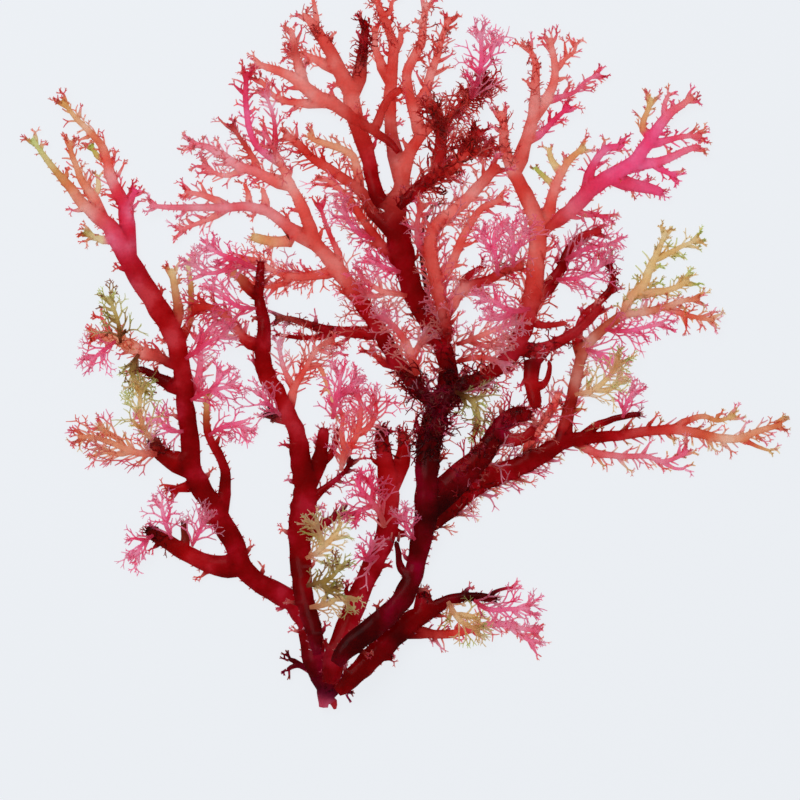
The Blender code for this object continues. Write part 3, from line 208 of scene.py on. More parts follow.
# Stage, in metres
FLOOR_SIZE = 1.6
FLOOR_TOP = -0.0003
FLOOR_COLOUR = (0.06, 0.063, 0.067, 1)
FLOOR_GLOW = (0.93, 0.96, 1.0, 1)
SKY = (0.95, 0.97, 1.0, 1)
SKY_STRENGTH = 0.5
LAMP_PLACE = (-0.25, 0.45, 0.6)
FROM_PLANT_TO_LAMP = (-0.271, 0.368, 0.6)

# Each block is a node: its name and slot, then its blades, one a line with indented lines continuing it. A
# blade is its name, its parent or -, its dressing (teeth, comb, bristle or bare, then blunt or fork at the
# tip), its widths, spread evenly along the route, and its route.
NODE_TABLE = """
holdfast purple
foot - bare blunt | 2.2 2.6 4.8 5.2 4.2 3 2.4 | -0.4,-4 -0.2,-2 0.5,0.4 0.9,2.4 1.4,4.6 1.8,7
left_lobe foot bare blunt | 2.6 2.6 2.2 1.8 | 0,1.6 -2,4 -3,6.2 -3.4,8.8
right_lobe foot bare blunt | 2.6 2.6 2.2 | 1,1.2 4,2.6 6.2,4.4 8,6.2
arm left_lobe bare | 1.6 1.4 1.2 .9 | -2.6,5.4 -4.8,6.8 -7.4,7.6 -9.6,7 -10.8,5.8
spur arm bare | 1.1 .8 | -7,7.5 -8.6,8.8 -10.4,9.4
drop foot bare blunt | 1.4 1.2 | 1,-1.2 2.4,-2.6 2.8,-4.6
claw right_lobe bare | 1.3 .8 | 4,2.4 5.2,0.8 6.6,-0.6

left_frond crimson
A - teeth fork | 5.2 6 5.2 4.6 5.2 5 4.7 4.3 4.5 5.1 5.1 4.6 3 1.8 .9 | -2.3,4.8 -2.8,8 -3.4,12.6 -4.4,19
  -8,24.5 -12.4,27.3 -17.5,30.2 -21.9,33.5 -24.1,38.3 -26.3,43.4 -29.3,48.5 -32.2,53.7 -35.1,58 -37.3,63.2
  -37.7,69.8 -38.1,74.2 -39.2,80.8 -39.2,85.2 -40.3,91.8 -41.7,98.4 -44.5,104 -47.5,109 -51,114.5 -54,119.5
  -57,125 -60,130 -64,133.5 -68,137 -71,141 -75,145.5 -78.5,150 -82,155
A1 A comb fork | 3.4 3.2 3 2.6 2 1.4 .9 | -53,121 -54.5,127 -55.5,132 -56,136 -58,140 -60,144.5 -61,149
  -62.5,153 -66,157 -69.5,160.5 -73.5,165.5
A1a A1 comb fork | 2.2 1.4 | -55.6,134 -54.4,138.5 -52.6,140.8
A1b A1 teeth fork | 1.4 .8 | -61,148 -64,150.5 -65.5,153.5
A2 A comb fork | 3 2.4 1.8 1.4 1 | -60,130 -63,135 -65.5,139.5 -68,143 -69.5,147 -71,151 -71.2,154.5
A2a A2 teeth | 1.4 .9 | -64.6,138 -63.4,141.5 -63.6,145
A3 A comb fork | 2 1.4 1 | -58,126.5 -62,126.5 -65,127.8 -67.5,129
A4 A teeth blunt | 4.4 4 3.8 3.4 | -23,36 -29.3,35.3 -33.7,36.4 -38.1,38.6 -42.5,41.2 -46.1,43.4 -49.5,46
A4a A4 bare blunt | 1.8 1.4 | -38.6,39.5 -39.2,44 -39.6,47.6
A5 A teeth fork | 2.8 2.4 2 1.2 | -28.6,47 -28.2,55 -27.8,61 -29.4,66 -32.3,71.3 -33.1,75.7 -33,80 -33.4,83.5
A6 A teeth fork | 2.4 1.5 | -35,58.5 -38.5,57.5 -41,57 -43.4,56
A7 A teeth blunt | 4.4 3.6 3 | -37.5,63.5 -43,65 -46.5,67.5 -48.5,71
A8 A teeth fork | 3.4 2.4 1.2 | -39.4,83.5 -45,87 -49.5,89.5 -53,91
A9 A bristle fork | 2 1.8 3 3.4 3 2.4 1.6 | -40.2,90 -44,92.4 -47.5,94.2 -51.5,95 -55.7,97.7 -60.8,99.5
  -65.8,100
A9a A9 bare | 1.2 .8 | -60,100 -61.4,103 -63,105.4
A10 A teeth fork | 2.4 2 1.4 | -42,101 -41,107 -42,113 -42.8,118.6
A11 A teeth fork | 1.8 1.5 1 | -41,97.6 -37.8,104 -37.4,110 -37.6,115 -38.5,121
A12 A comb fork | 1.8 1.6 1 | -39,80.5 -35.7,87 -34.8,93 -35.2,100

short_frond crimson
C - teeth blunt | 5.6 5.6 5 5 5.2 4.4 3 | 1.3,3.2 2.1,6.2 3.2,10.4 5.4,16.4 8.3,24 11.2,31 14.5,38 17,44
  17.9,52 17.6,60 16.4,67 15.8,74.5
C1 C teeth blunt | 3.2 3.2 2.6 | 18,57 20.8,62.6 22.2,68 21.6,73
C2 C bare | 1.4 .8 | 8.6,24.5 6.6,26.6 5.6,29.4
C3 C bare | 1.8 1.2 | 18,46.6 20.8,44.4 23,44.6

lower_frond crimson
F - teeth blunt | 4 4.8 5.6 5.8 4.8 3 2.2 1.9 | 3.6,1.2 6,3.1 9.5,6.7 14.4,11.6 19,16 24,19.8 29,22.8
  33.5,25.2 38,26.6 43,26.8 48,26
F1 F comb fork | 2.4 2.2 2 1.8 1.4 1 | 20,16 26,16.8 32,16.2 38,16.8 44,18.6 50,19.2 55,18 60,17
F1a F1 comb fork | 1.3 .8 | 50.6,19 55,15.8 59,13.2
F3 F teeth blunt | 3.2 2.8 | 26,21.4 27.2,25 28,28.8
F4 F bare blunt | 2.2 1.8 | 15,12 17.8,10.6 19,10.2
F5 F bare | 1 .7 | 45,26.6 48.6,28.6 53,29.4

right_frond crimson
E - comb fork | 4 5.6 5.6 5 4.4 3.4 2.6 2.4 2.4 2.2 1.8 1.2 | 28,45.4 31.4,48.6 34.6,52 38.6,55.6 44,59.3
  50,61.5 56,64 62,67.3 67,70.2 74,71.2 82,71.8 90,73 98,73.5 104,72.5 110,71.2 116,71 121,73 128,75
E0a E teeth fork | 1.6 .9 | 98,74 102,76.2 106,77.2 110,76 115,77.6
E0b E bare | 1.1 .7 | 116.6,70.8 121.4,68.6 125,67.4
E0c E comb fork | 2 1.6 1.2 .9 | 69.6,70.5 75,67.3 80,66.3 85,66 90,66 94.5,64.6 99,66 101.5,68
E0d E0c bare | 1 .7 | 94,64.6 98,62.6 101,62.6
E2 E bare blunt | 1.7 1.6 1.4 | 71.8,71.6 76,74.6 80,76.2 84,77.3 88,77.8
E3 E teeth fork | 2.8 2.8 2.8 2.6 2.4 2 1.6 1 | 66.4,70.5 67.8,77 69.4,84 70.9,90.5 72.3,95.5 75.5,99.5
  79.5,103 84,105.7 90,106.5 96,108 100,109.5 105,110
E3b E3 teeth fork | 2.2 2 1.4 | 71.8,93.6 70.6,99 72.4,105 76.6,109 80,113 80.4,117 78.6,121.4
E3e E3 comb fork | 1.6 .8 | 95,107.8 101,105.6 105,104.6 109,104
E4 E teeth blunt | 2.4 2.2 1.8 | 56.5,64 57.6,70 61,75.5 64,80 65.2,84

main_frond dark_crimson
D - teeth fork | 4.6 5.6 5.2 4.6 5.6 5.6 6 5 4.4 5.2 5.4 6.2 4.2 3 2 | 3.3,9 6.3,13.1 11,17 17,21.6 22,27
  25,34 26.5,41 28,48 28.4,56 28.6,64 29.5,72 32,80 34.6,88 33.2,95.5 29.8,102.5 25.8,109.5 22.8,117.5
  20.8,127 19.8,134 21.3,141 22.5,147.5 25,153 28.4,157 32.4,160
D16 D bare | 1.7 1.5 1.2 | 24,31.5 21.2,35 20.4,40 19.8,42.6
D17 D teeth blunt | 4.2 5.4 5.8 5.4 4.6 4.2 3.2 | 29,50.6 32.8,55.6 38,60.8 43.5,65.8 47,71 49.8,75.4
  53.6,77.8 57.6,77.4
D18 D17 teeth blunt | 3 2.6 2 | 47.5,72 52,70.6 56.2,71.6 58.4,74.2
D14 D comb fork | 2.6 2.2 1.6 1 | 22.4,119 17,123.4 13.5,128.2 10,133.2 7,138 3,141.6 -1,144.6
D12 D comb fork | 3 2.6 2.2 1.6 | 19,129 13.4,134.5 10.6,139.5 5.6,143.4 0,147.2 -4,149.7 -6.5,152.5
  -9.5,154.8 -11.8,155.8
D12a D12 bristle fork | 2 1.8 1.4 | 9.8,140 9,146 7.8,150 4.5,152 1,153.2 -3,154.6 -5,156.4
D2 D teeth fork | 3 3.2 3.6 4 4.2 4 3.4 2.6 1.6 | 18.6,134 14.8,138.6 13.2,144 12,150 10,156 8,162 7,168
  4,174 1,180 -3,186 -6,190
D2a D2 comb fork | 2.4 1.8 1 | 4.5,173 -0.5,176 -5,178 -10,179.4
D2b D2 teeth | 1.4 .8 | -2.2,184.6 -2.6,190 -3.6,195
D4 D2 bristle fork | 3 2.6 1.6 | 7,165.6 9.6,172 10.4,178 11,183 11.5,188
D5 D teeth fork | 3.2 3 3 3 2.6 2 1.4 | 21.4,141.5 19.9,149 18.4,158 18.2,166 18.8,174 19.2,180 17.5,186
  15.5,190.5 14,195
D5a D5 comb fork | 2.2 1.8 1 | 18.2,170 15.6,176 14.2,180 13.6,186.5
D5b D5 teeth | 1.3 .8 | 16.4,188.4 18.4,190.6 18.4,193.6
D5c D5 bristle | 1.6 1 | 19,178.4 21,182 21.2,186
D6 D teeth fork | 2.6 2.6 2.4 2 1.4 | 26.8,155.3 25.6,160 24.2,165 23,170 23,173.5 24.8,177.5 27,181.5
  27.5,187 28.5,193
D7 D6 comb fork | 2.4 2.2 1.6 1.2 | 24.8,162.6 28,167.6 29.8,173.5 31.6,178.5 33,184 35,189
D15 D bare | 1.4 1.2 1 | 31,104.4 29.2,110.5 27.6,118 27,126 28,132 30.5,136.5

dark_branch dark_crimson
D8 - bristle fork | 2.6 3.2 3 2.6 1.8 | 20.6,135.2 23.4,138.2 27,141.4 31,144.3 35.5,146.5 38.5,150.5 41,154
  43,157.6
D8a D8 teeth blunt | 2.8 2.8 2.4 | 31,144 32,150 32.5,156 31.5,161 28.5,165.5
D8b D8a bristle fork | 1.8 1.4 1 | 32.3,156 36,162 40,165.6 43,168 46,171.4
D8c D8 bristle fork | 1.8 1.4 | 39,151 43.6,151 47.4,153.4

crossing_branch salmon
D3 - teeth fork | 2 2 2.8 3.4 3.2 2.2 1.2 | 20.6,150.6 18,153.7 14,156.5 8,160.3 3,164 -2,166.5 -6,169.5
  -10,172.5 -15,174.5 -20,176
D3a D3 comb fork | 2 1.6 .9 | 1.4,164.6 -6,164.8 -12,165.6 -15.5,168 -18.5,172
D3b D3 comb fork | 2.2 1.8 1.3 | -5.6,169.3 -7.6,176 -8.6,181 -9.5,186
D11 D3 teeth blunt | 1.8 2 2 | 14,156.6 15.6,161.5 18,166 21.5,168.4

left_crown_frond salmon
G - teeth fork | 3 3.6 3.8 3.8 3.9 4 3.6 3.2 3 2.4 1.4 .9 | 30.6,79.6 28,82.4 25,85.8 22.8,89 20.2,92.4
  17.5,97 14.8,102 11.5,107 8,112 4.5,117 1,121.5 -2.5,125.5 -4.5,131 -7,137 -10,142.5 -12,147.5 -14.5,152.5
  -17.5,157
G1 G teeth fork | 3 2.8 2.4 2 1.6 1 | -2,125 -7,127.8 -11.5,131.2 -16,134.5 -22,135.8 -28,135.5 -33,135.5
  -38,135.5 -43,135.5 -49,136
G1a G1 comb fork | 1.8 1.4 1 | -26.6,135.6 -31,137.9 -35,139.3 -39.5,140
G1c G1 comb fork | 1.5 .8 | -27.5,135 -32,132.6 -37,130.6 -41,129
G1d G1 teeth | 1.8 1 | -16.5,134.8 -16.8,138.5 -17.8,141.4
G1e G1 teeth | 1.5 .8 | -21.2,135.8 -21.5,139.5 -22.8,142.8
G2 G1 teeth blunt | 2.5 2.2 | -6,127.2 -12,126 -17,126.5 -20.5,127.3
G3 G comb fork | 2.4 2 1.4 1 | 4,118 -2,116.8 -7,116.2 -12,117 -15.5,118.5 -19,121 -24,120.8
G3a G3 comb fork | 1.4 .8 | -8.5,116.3 -13,113.8 -18,113.6 -22,114.6
G4 G comb fork | 2.6 2.4 2 1.2 | -9.6,141.8 -15,143.5 -19,145.5 -24,147.2 -29,150.4 -33,152.5 -38,153.3
G4b G4 bristle fork | 1.6 1.2 .9 | -18,145 -20.4,150 -23.4,154.5 -26.4,159
G4c G4 comb fork | 1.4 .8 | -22.5,146.6 -27,144.6 -31,145.4 -34.5,148
G5 G comb fork | 1.8 1.5 1.2 | -12,147.6 -15.6,150 -19.4,153.4 -21.2,158 -22,164 -22,170 -21.5,173.5
G6 G comb fork | 1.3 1 .8 | -13.8,151 -13.8,156 -14.2,160 -15.5,164.5 -17,168
G8 G teeth fork | 1.5 1.2 .8 | 3.6,118 4,121.9 2.4,125.7 0.8,129.5 -0.6,133.5 -1.5,137
G9 G teeth fork | 2.8 2.4 2 1 | 15.8,100.2 11,100.5 5,101 0,101.5 -5,103 -10,104.5 -14,104.8
G9a G9 teeth | 1.6 .8 | 4,101 -3,99.2 -9,99.4 -14,100.2
G10 G teeth fork | 1.8 .9 | 21,91.4 17.2,91.8 14.3,94 12.5,96

right_crown_frond salmon
H - teeth fork | 3.2 3.4 3.8 4.2 4.6 4.6 4.4 4.2 3.8 3.2 2.4 1.6 | 33.4,80.4 35.6,83.4 39.4,86.2 43.4,87.8
  48,90.6 52,94.4 55,100 57,107 58.5,114 59,121 59.6,128 58,135 54.5,142 51.5,148 50,153 50,158 49,162.5
H1a H teeth fork | 3 3 2.8 2 1 | 53,145 55.2,151 57.2,157 58.5,163 58.8,170 58.8,176 56.5,181
H1b H1a teeth fork | 2.4 2 1.2 | 58,160 61.6,165.4 64,170.5 64.2,176 62.8,183
H1c H1b comb fork | 1.6 1 .8 | 62,165.4 66,166.5 70,168 73,171 77,173
H1d H1b comb | 1.2 .8 | 64.3,173 67,177 69.5,179 70.5,182
H1e H1a comb fork | 1.8 1.4 1 | 56,153.6 60.5,156.4 64,159.9 68.5,164
H6 H teeth fork | 2.8 2.6 2 1.2 | 59.6,126 62.4,134 64.3,141 66.5,146 69.5,150 73,152.5
H6a H6 teeth | 1.4 .9 | 64.4,141.5 61,144.6 58.4,147
H6b H6 teeth | 1.6 1.1 | 66,145 63.4,149 62.6,152.6
H4 H teeth fork | 2.8 2.6 2.2 1.4 | 58,109 62.6,113.5 66.3,119 68.2,123.5 71,127 74.5,128.5 77.5,129
H2 H teeth fork | 2.8 2.6 2 | 53.6,97 58,95.6 63,97 68,99.5 73,103.5 77,108
H3 H teeth | 1.7 1.2 | 56.4,104.6 60,102.8 64,102.8 68,103.4
H5 H2 teeth blunt | 3.2 3.4 3 | 58.6,96 57.6,90 58,84 58.8,79.5
H5a H5 bare | 1.6 1 | 58,84.6 61.4,86.6 62.8,90.6 62.4,93

rose_arm rose
R - teeth fork | 2.8 3.6 4 3.8 3.4 3 2.2 1.2 | 61.4,129 65,131.8 70,136 74,140.3 80,144.5 86,148 89.5,152.5
  92.5,157 96,161.5 99.5,164 103,166.5
Ra R comb fork | 2 1.8 1.4 | 73,139.6 74,145 76.2,149.5 79,152 84,153
Rb R bristle blunt | 2.8 2.8 2.2 | 79,143.8 86,142 91,140.8 94.5,139.5
Rc R teeth fork | 2.4 2 1.4 | 85,147.4 91,148 96,149.2 100,151.2 105,152.8
Rd Rc comb fork | 1.5 1 | 91,148.2 95,145.8 98.6,144.2
Re R comb fork | 1.8 1.4 1 | 89.4,152.6 95,154.2 100,155.4 105.5,155.6
Rf R comb fork | 1.6 1.1 | 90.6,154.2 88.9,158.5 90.4,163 91.5,166.5
Rg R teeth | 1.2 .9 | 95,160.4 95,164.6 96.6,168
Rh R comb fork | 1.4 .8 | 69,135.2 73,133.6 76.5,133.4 80,132.5

inner_frond salmon
I - comb fork | 2.4 3 3.3 3.2 3 3 2.8 2.4 | 34.6,98 33.6,104 31.8,111 30.2,119 29.4,126 31.6,131.2 36,134.6
  41,139.2 45,143.5 48.5,147
I1 I teeth fork | 2.6 2.6 2.2 1.6 | 33.4,104.4 37,111 41,113.8 46,115.5 50.5,117.8 55.5,119.3
I1a I1 teeth | 1.8 1.2 | 36.8,110.8 39.6,116 44.5,119.4
I3 I comb fork | 2.2 2 1.4 | 31,114.4 35.4,119.8 38,126 40.6,131 44,135.4 50,138
I4 I comb fork | 1.6 1.2 | 30,120 26.4,125 25.8,131 27.4,136.6

second_frond crimson
B - teeth blunt | 3 4.2 4.6 5.1 5.5 6.4 5.6 5 4 3.6 4.4 3.8 3 2.2 2 | -1.8,11.4 -2.8,17.4 -4.8,24 -5.9,28
  -6.5,33 -6.9,39 -6.9,46.3 -5.9,52.2 -5.5,58 -6.7,63.9 -7.3,69.8 -8.4,74.2 -10.9,79.3 -13.1,83.7 -16,88.1
  -17.3,93.3 -16.9,99.1 -17,104 -18.2,109 -18.2,113 -18,117 -17.8,120.4
B1 B teeth blunt | 2.4 1.8 | -18.4,110.6 -21.5,113.3 -24,116.2 -27.2,117.6
B2 B comb fork | 2.6 2.2 1.8 | -17,96 -22.5,98.8 -25.5,102.5 -29,106.3 -33,107.6 -37.2,107
B3 B bristle fork | 2.4 1.8 | -9.6,76 -13.4,77 -16.4,78.8
B4 B teeth blunt | 3 3 2.6 | -5.6,56.6 -2.4,62 -1,68 -0.2,74
B5 B4 teeth blunt | 1.7 1.5 1.4 | -1.9,63.4 1.6,66.6 2.9,70 3.4,73.6
B6 B comb fork | 2.2 1.6 1.2 1 | -10.4,78 -8.6,85 -6,89.6 -3.5,94 -1,97 3,98.4
B6a B6 comb fork | 1.4 .9 | -8.8,85 -11.4,90.5 -12.4,95 -13,98.6
B6b B6 teeth | 1.2 1 .8 | -5.2,91 -2,91.4 -0.3,88.6 0.8,85.4 2,81.6 2.4,77.5
B6d B6 bare | 1 .7 | -1.8,96 1,94.8 5,95
B7 B bristle fork | 2.4 2 1.2 | -6.6,42.6 -2,45.8 2,48.5 6.2,51
B8 B bristle fork | 1.7 1.4 1 | -5.8,52 -1,56.4 3,59.4 6,62.3 7.8,65.5

tan_arm tan
K - comb fork | 2 2.4 2 1.4 1 | 83,106.2 85.2,110 89,114 91,119 93.5,124 95.5,129.5
K1 K bristle fork | 2 1.6 1.2 | 86.2,111.4 92,111.8 97.5,113 102,115.4
K2 K comb fork | 1.4 .9 | 91.8,120.6 96,122.8 100,124.8 105,127

salmon_spray_centre salmon
S1 - comb fork | 2.2 2.2 1.6 1 | 25.8,88.6 24.5,93 22.5,98 19.5,102 15.5,105.6
S1a S1 comb fork | 1.6 1 | 24.6,92.8 26.4,97 28.8,99.8

salmon_spray_inner salmon
S2 - comb fork | 1.5 1.6 1.4 1 | 4.6,62 5.4,67 8.5,71 9.8,76 10,81 8.2,84.4
S2a S2 comb fork | 1.4 .9 | 9,71.8 12.7,74.6 14.4,79 13,83.5
S2b S2 comb fork | 1.3 .9 | 5.8,67.6 4.6,72.6 5.6,78.4

salmon_comb_upper salmon
S3 - comb fork | 1.5 1.4 1.2 .9 | 36.6,97.2 41,98.6 46,100.8 50.4,102.2 53.4,104
S3a S3 comb fork | 1.2 .8 | 40,98.2 45,96.8 50.6,97.4

salmon_comb_lower salmon
S4 - comb fork | 1.6 1.3 .9 | 37,92.4 42,93.6 47,93 50.6,91

salmon_comb_trunk salmon
S5 - comb fork | 1.5 1.3 .9 | 23,110.8 16.5,112 12.5,114.2 9,117
S5a S5 comb fork | 1.2 .8 | 17.6,111.7 13.6,110.6 10,111.4

pink_spray_A1 pink
P1 - comb fork | 1.5 1.2 .9 | -38.8,93.2 -35,96 -31,98.6 -27,100
P1a P1 comb fork | 1.1 .8 | -35.6,95.6 -33,100.5 -30,104

pink_spray_A2 pink
P2 - comb fork | 1.4 1.1 .9 | -37.4,81.6 -33,84 -29,85 -25,86.2
P2a P2 comb fork | 1.1 .8 | -32,84.3 -29.6,87 -28.5,90

pink_spray_A3 pink
P3 - comb fork | 1.3 1.1 .8 | -32.4,71.8 -29,74 -25,75 -21.5,72.7

pink_spray_A4 pink
P4 - comb fork | 1.3 1.1 .8 | -39.4,73 -43.5,73.3 -46.5,76.3 -50,75.6

pink_spray_A5 pink
P5 - comb fork | 1.3 1.1 .8 | -42.6,43 -44.6,48 -46,53.4

pink_spray_A6 pink
P6 - comb fork | 1.2 1 .8 | -37,41 -34.8,45.5 -33,49.6

pink_spray_A7 pink
P7 - comb fork | 1.3 1 .8 | -47.8,44.2 -51,41.3 -53.2,37.6

pink_spray_A8 pink
P8 - comb fork | 1.3 1.1 .8 | -58.4,98.2 -62,95.4 -66,92.6

pink_spray_B1 pink
P9 - comb fork | 1.5 1.3 1 .8 | -19,118.2 -25,121 -29,122.5 -33.4,125
P9a P9 comb fork | 1.3 1 .8 | -24.4,120.8 -28,118 -33,117.2 -37.5,120.4

pink_spray_B2 pink
P10 - comb fork | 1.3 1.1 .8 | -19,107.2 -24,107.8 -28.5,111 -31.5,113.8

pink_spray_B3 pink
P12 - bristle fork | 1.3 1 .8 | -12.2,77.4 -15.5,80.5 -17.8,84.4

pink_tree pink
P14 - comb fork | 1.4 1.2 .9 | 2.2,76.4 3.2,82 4.2,86 4.2,90.4
P14a P14 comb fork | 1.2 .8 | 3.3,82.4 7.2,85 9.4,88.4

hot_pink_spray pink
P16 - comb fork | 1.7 1.5 1.2 .9 | 16.8,46.2 15.2,50.5 12.8,53.8 10.3,56.5 8.5,60
P16a P16 comb fork | 1.2 .8 | 14,52.6 10.4,51.2 8.2,49.4
P16b P16 comb fork | 1.2 .8 | 13.4,53.4 13.4,57 12.4,60.4

pink_spray_C1 pink
P19 - comb fork | 1.2 1 .8 | 15.2,38.4 12,37 12.6,39.6 14.2,42

pink_spray_C2 pink
P20 - comb fork | 1.2 1 .8 | 25.2,42.8 23,46.2 21.6,50

pink_spray_D1 pink
P21 - comb fork | 1.5 1.2 .9 | 21.2,117.4 16.5,118.8 12,121.4

pink_spray_D2 pink
P22 - comb fork | 1.4 1.2 .9 | 14,126.6 9.6,128.2 6.6,131.8 4.5,136

pink_spray_I1 pink
P25 - comb fork | 1.2 1 .8 | 48.3,116.2 47.6,122 47.2,127 48.6,131.4
P25a P25 comb fork | 1 .8 | 47.5,123 44.6,126 43.4,129.4

pink_spray_I2 pink
P26 - comb fork | 1.2 1 .8 | 52.4,118.6 52.6,124 51.8,129.8
P26a P26 comb fork | 1 .8 | 52.5,123.4 55.4,126 56.6,130

pink_spray_H1 pink
P27 - comb fork | 1.5 1.2 .9 | 57.4,107.2 52,106.5 47.5,109 43.2,110
P27a P27 comb fork | 1.2 .8 | 52.4,106.4 48.6,104.2 46,105.4

pink_spray_H2 pink
P28 - comb fork | 1.4 1.1 .8 | 67,120.8 72,123.6 77,124.9 82,125.4

pink_spray_H3 pink
P29 - comb fork | 1.3 1.1 .8 | 64.6,115.4 70,115.8 75,117.6 78.4,121

pink_spray_E1 pink
P30 - comb fork | 1.4 1.1 .8 | 78.2,101.4 84,101 90,102.2 95,103.2

pink_spray_E2 pink
P31 - comb fork | 1.3 1.1 .8 | 72.8,96 77.2,94.4 82,91.6

pink_spray_E3 pink
P34 - comb fork | 1.2 1 .8 | 83,76.8 84.3,81 87,85

pink_spray_crown pink
P42 - comb fork | 1.4 1.2 .8 | 40.8,165.6 43,172 43.8,178 43.2,184.8
P42a P42 comb fork | 1 .8 | 43.4,175 46.6,179 48,183

pink_spray_F1 pink
P50 - comb fork | 1.4 1.2 .9 | 41.6,26 45.6,23.4 51,23.4 57.5,23.6

tan_tuft_lower tan
T4 - bristle fork | 1.7 1.5 1.2 .9 | 34.4,25.6 36,22.5 38.6,19.6 43.4,17.4
T4a T4 comb fork | 1.2 .9 | 36.4,22 40,21.6 43.6,20.4

tan_tuft_stem tan
T1 - comb fork | 1.5 1.3 .9 | -5.2,37.6 -1.4,40 -1,43.5 -3,48
T1a T1 comb fork | 1.3 .9 | -1.2,40.6 2.6,43.6 4.8,48

tan_tuft_fork tan
T2 - comb fork | 1.6 1.4 1 | -4,24.4 0.6,25.2 4.4,27 7,25.6

olive_tuft_stem olive
T3 - bristle fork | 1.5 1.2 .8 | -5,30.2 -0.6,31.4 2.6,33.2 4.6,36.4
T3a T3 bristle | 1.1 .8 | -0.8,31.4 1.4,29 3.6,29.6

olive_tuft_centre olive
T5 - bristle fork | 1.5 1.2 .9 | 36.2,84.2 40.4,82 42.6,78.6 43.2,73.6
T5a T5 bristle | 1.1 .8 | 40.8,81.6 43.4,82.6 45.6,84.8

olive_tuft_left olive
T6 - bristle fork | 1.2 1 .8 | -56.8,97.6 -57.6,103 -59,107 -60.5,110.6

olive_hook olive
T7 - bristle fork | 1.4 1.2 .9 | -52,94.6 -53.6,90.6 -52.8,87 -49.6,85.2

tan_tuft_left tan
T8 - comb fork | 1.3 1.1 .8 | -48,70 -50.8,75 -51.6,80 -51.2,85.4

tan_brush tan
T10 - bristle fork | 2 1.6 1.3 .9 | -46.8,66.6 -53,67.2 -59.3,69.6 -64.5,71.4 -69,71.4
T10a T10 comb fork | 1.2 .8 | -53,67.4 -58,66.6 -63.6,67.6
T10b T10 comb fork | 1.2 .8 | -54.6,67.8 -58.6,71.4 -63.6,74.6

tan_spray_right tan
T11 - comb fork | 1.6 1.3 .9 | 69.8,83.2 75,84.6 79,88 82.6,93
T11a T11 comb fork | 1.2 .8 | 75,84.6 79.6,84.6 83.6,87.4
"""


def numbers(text):
    return [float(word) for word in text.split()]


def smooth_route(text):
    """Closely spaced points on a Catmull-Rom curve through the points of a route."""
    knots = np.array([[float(v) for v in word.split(",")] for word in text.split()])
    padded = np.vstack([2 * knots[0] - knots[1], knots, 2 * knots[-1] - knots[-2]])
    points = [knots[0]]
    for a, b, c, d in zip(padded, padded[1:], padded[2:], padded[3:]):
        count = max(2, math.ceil(np.linalg.norm(c - b) / FINE_STEP))
        for t in np.arange(1, count + 1) / count:
            points.append(0.5 * (2 * b + (c - a) * t + (2 * a - 5 * b + 4 * c - d) * t**2
                                 + (3 * b - a - 3 * c + d) * t**3))
    return np.array(points)


def unit(v):
    return v / np.maximum(np.linalg.norm(v, axis=-1, keepdims=True), NO_LENGTH)


def cross(a, b):
    return a[..., 0] * b[..., 1] - a[..., 1] * b[..., 0]


class Blade:
    """A flat ribbon along a route: arrays of points, widths, thicknesses and heights by distance s."""

    def __init__(self, points, widths, blunt):
        self.points = points
        self.blunt = blunt
        self.widths = np.interp(np.linspace(0, 1, len(points)), np.linspace(0, 1, len(widths)), widths)
        self.parent = None
        self.side = 0
        self.root = (0.0, 0.0)
        self.first = 0.0
        self.ports = {1: [], -1: []}
        self.measure()

    def measure(self):
        steps = np.linalg.norm(np.diff(self.points, axis=0), axis=1)
        self.s = np.concatenate([[0], np.cumsum(steps)])
        self.tangents = unit(np.gradient(self.points, axis=0))
        self.normals = np.stack([-self.tangents[:, 1], self.tangents[:, 0]], axis=1)
        thickness = THICKNESS_AT_NO_WIDTH + THICKNESS_PER_WIDTH * self.widths
        self.thickness = np.clip(thickness, THINNEST, THICKEST)
        self.z = self.thickness / 2

    def at(self, s, values):
        if values.ndim == 1:
            return float(np.interp(s, self.s, values))
        return np.array([np.interp(s, self.s, column) for column in values.T])

    def nearest(self, points):
        """For each point: index of the nearest route point, and how far outside this blade's edge it is."""
        gaps = np.linalg.norm(points[:, None] - self.points[None], axis=2)
        index = gaps.argmin(axis=1)
        return index, gaps[np.arange(len(points)), index] - self.widths[index] / 2

    def trim(self, start):
        self.points = self.points[start:]
        self.widths = self.widths[start:]
        self.measure()


def free_port(parent, side, low, high, shift):
    """The port nearest to low..high that keeps clear of the parent's ends and other ports, or None."""
    length = high - low
    least = parent.first + PORT_MARGIN
    most = parent.s[-1] - PORT_MARGIN
    taken = parent.ports[side]
    choices = [min(max(low, least), most - length)]
    for a, b in taken:
        choices += [a - PORT_MARGIN - length, b + PORT_MARGIN]
    for a in sorted(choices, key=lambda c: abs(c - low)):
        b = a + length
        if a < least - TOUCH or b > most + TOUCH or abs(a - low) > shift:
            continue
        if all(b <= p - PORT_MARGIN + TOUCH or a >= q + PORT_MARGIN - TOUCH for p, q in taken):
            return a, b
    return None


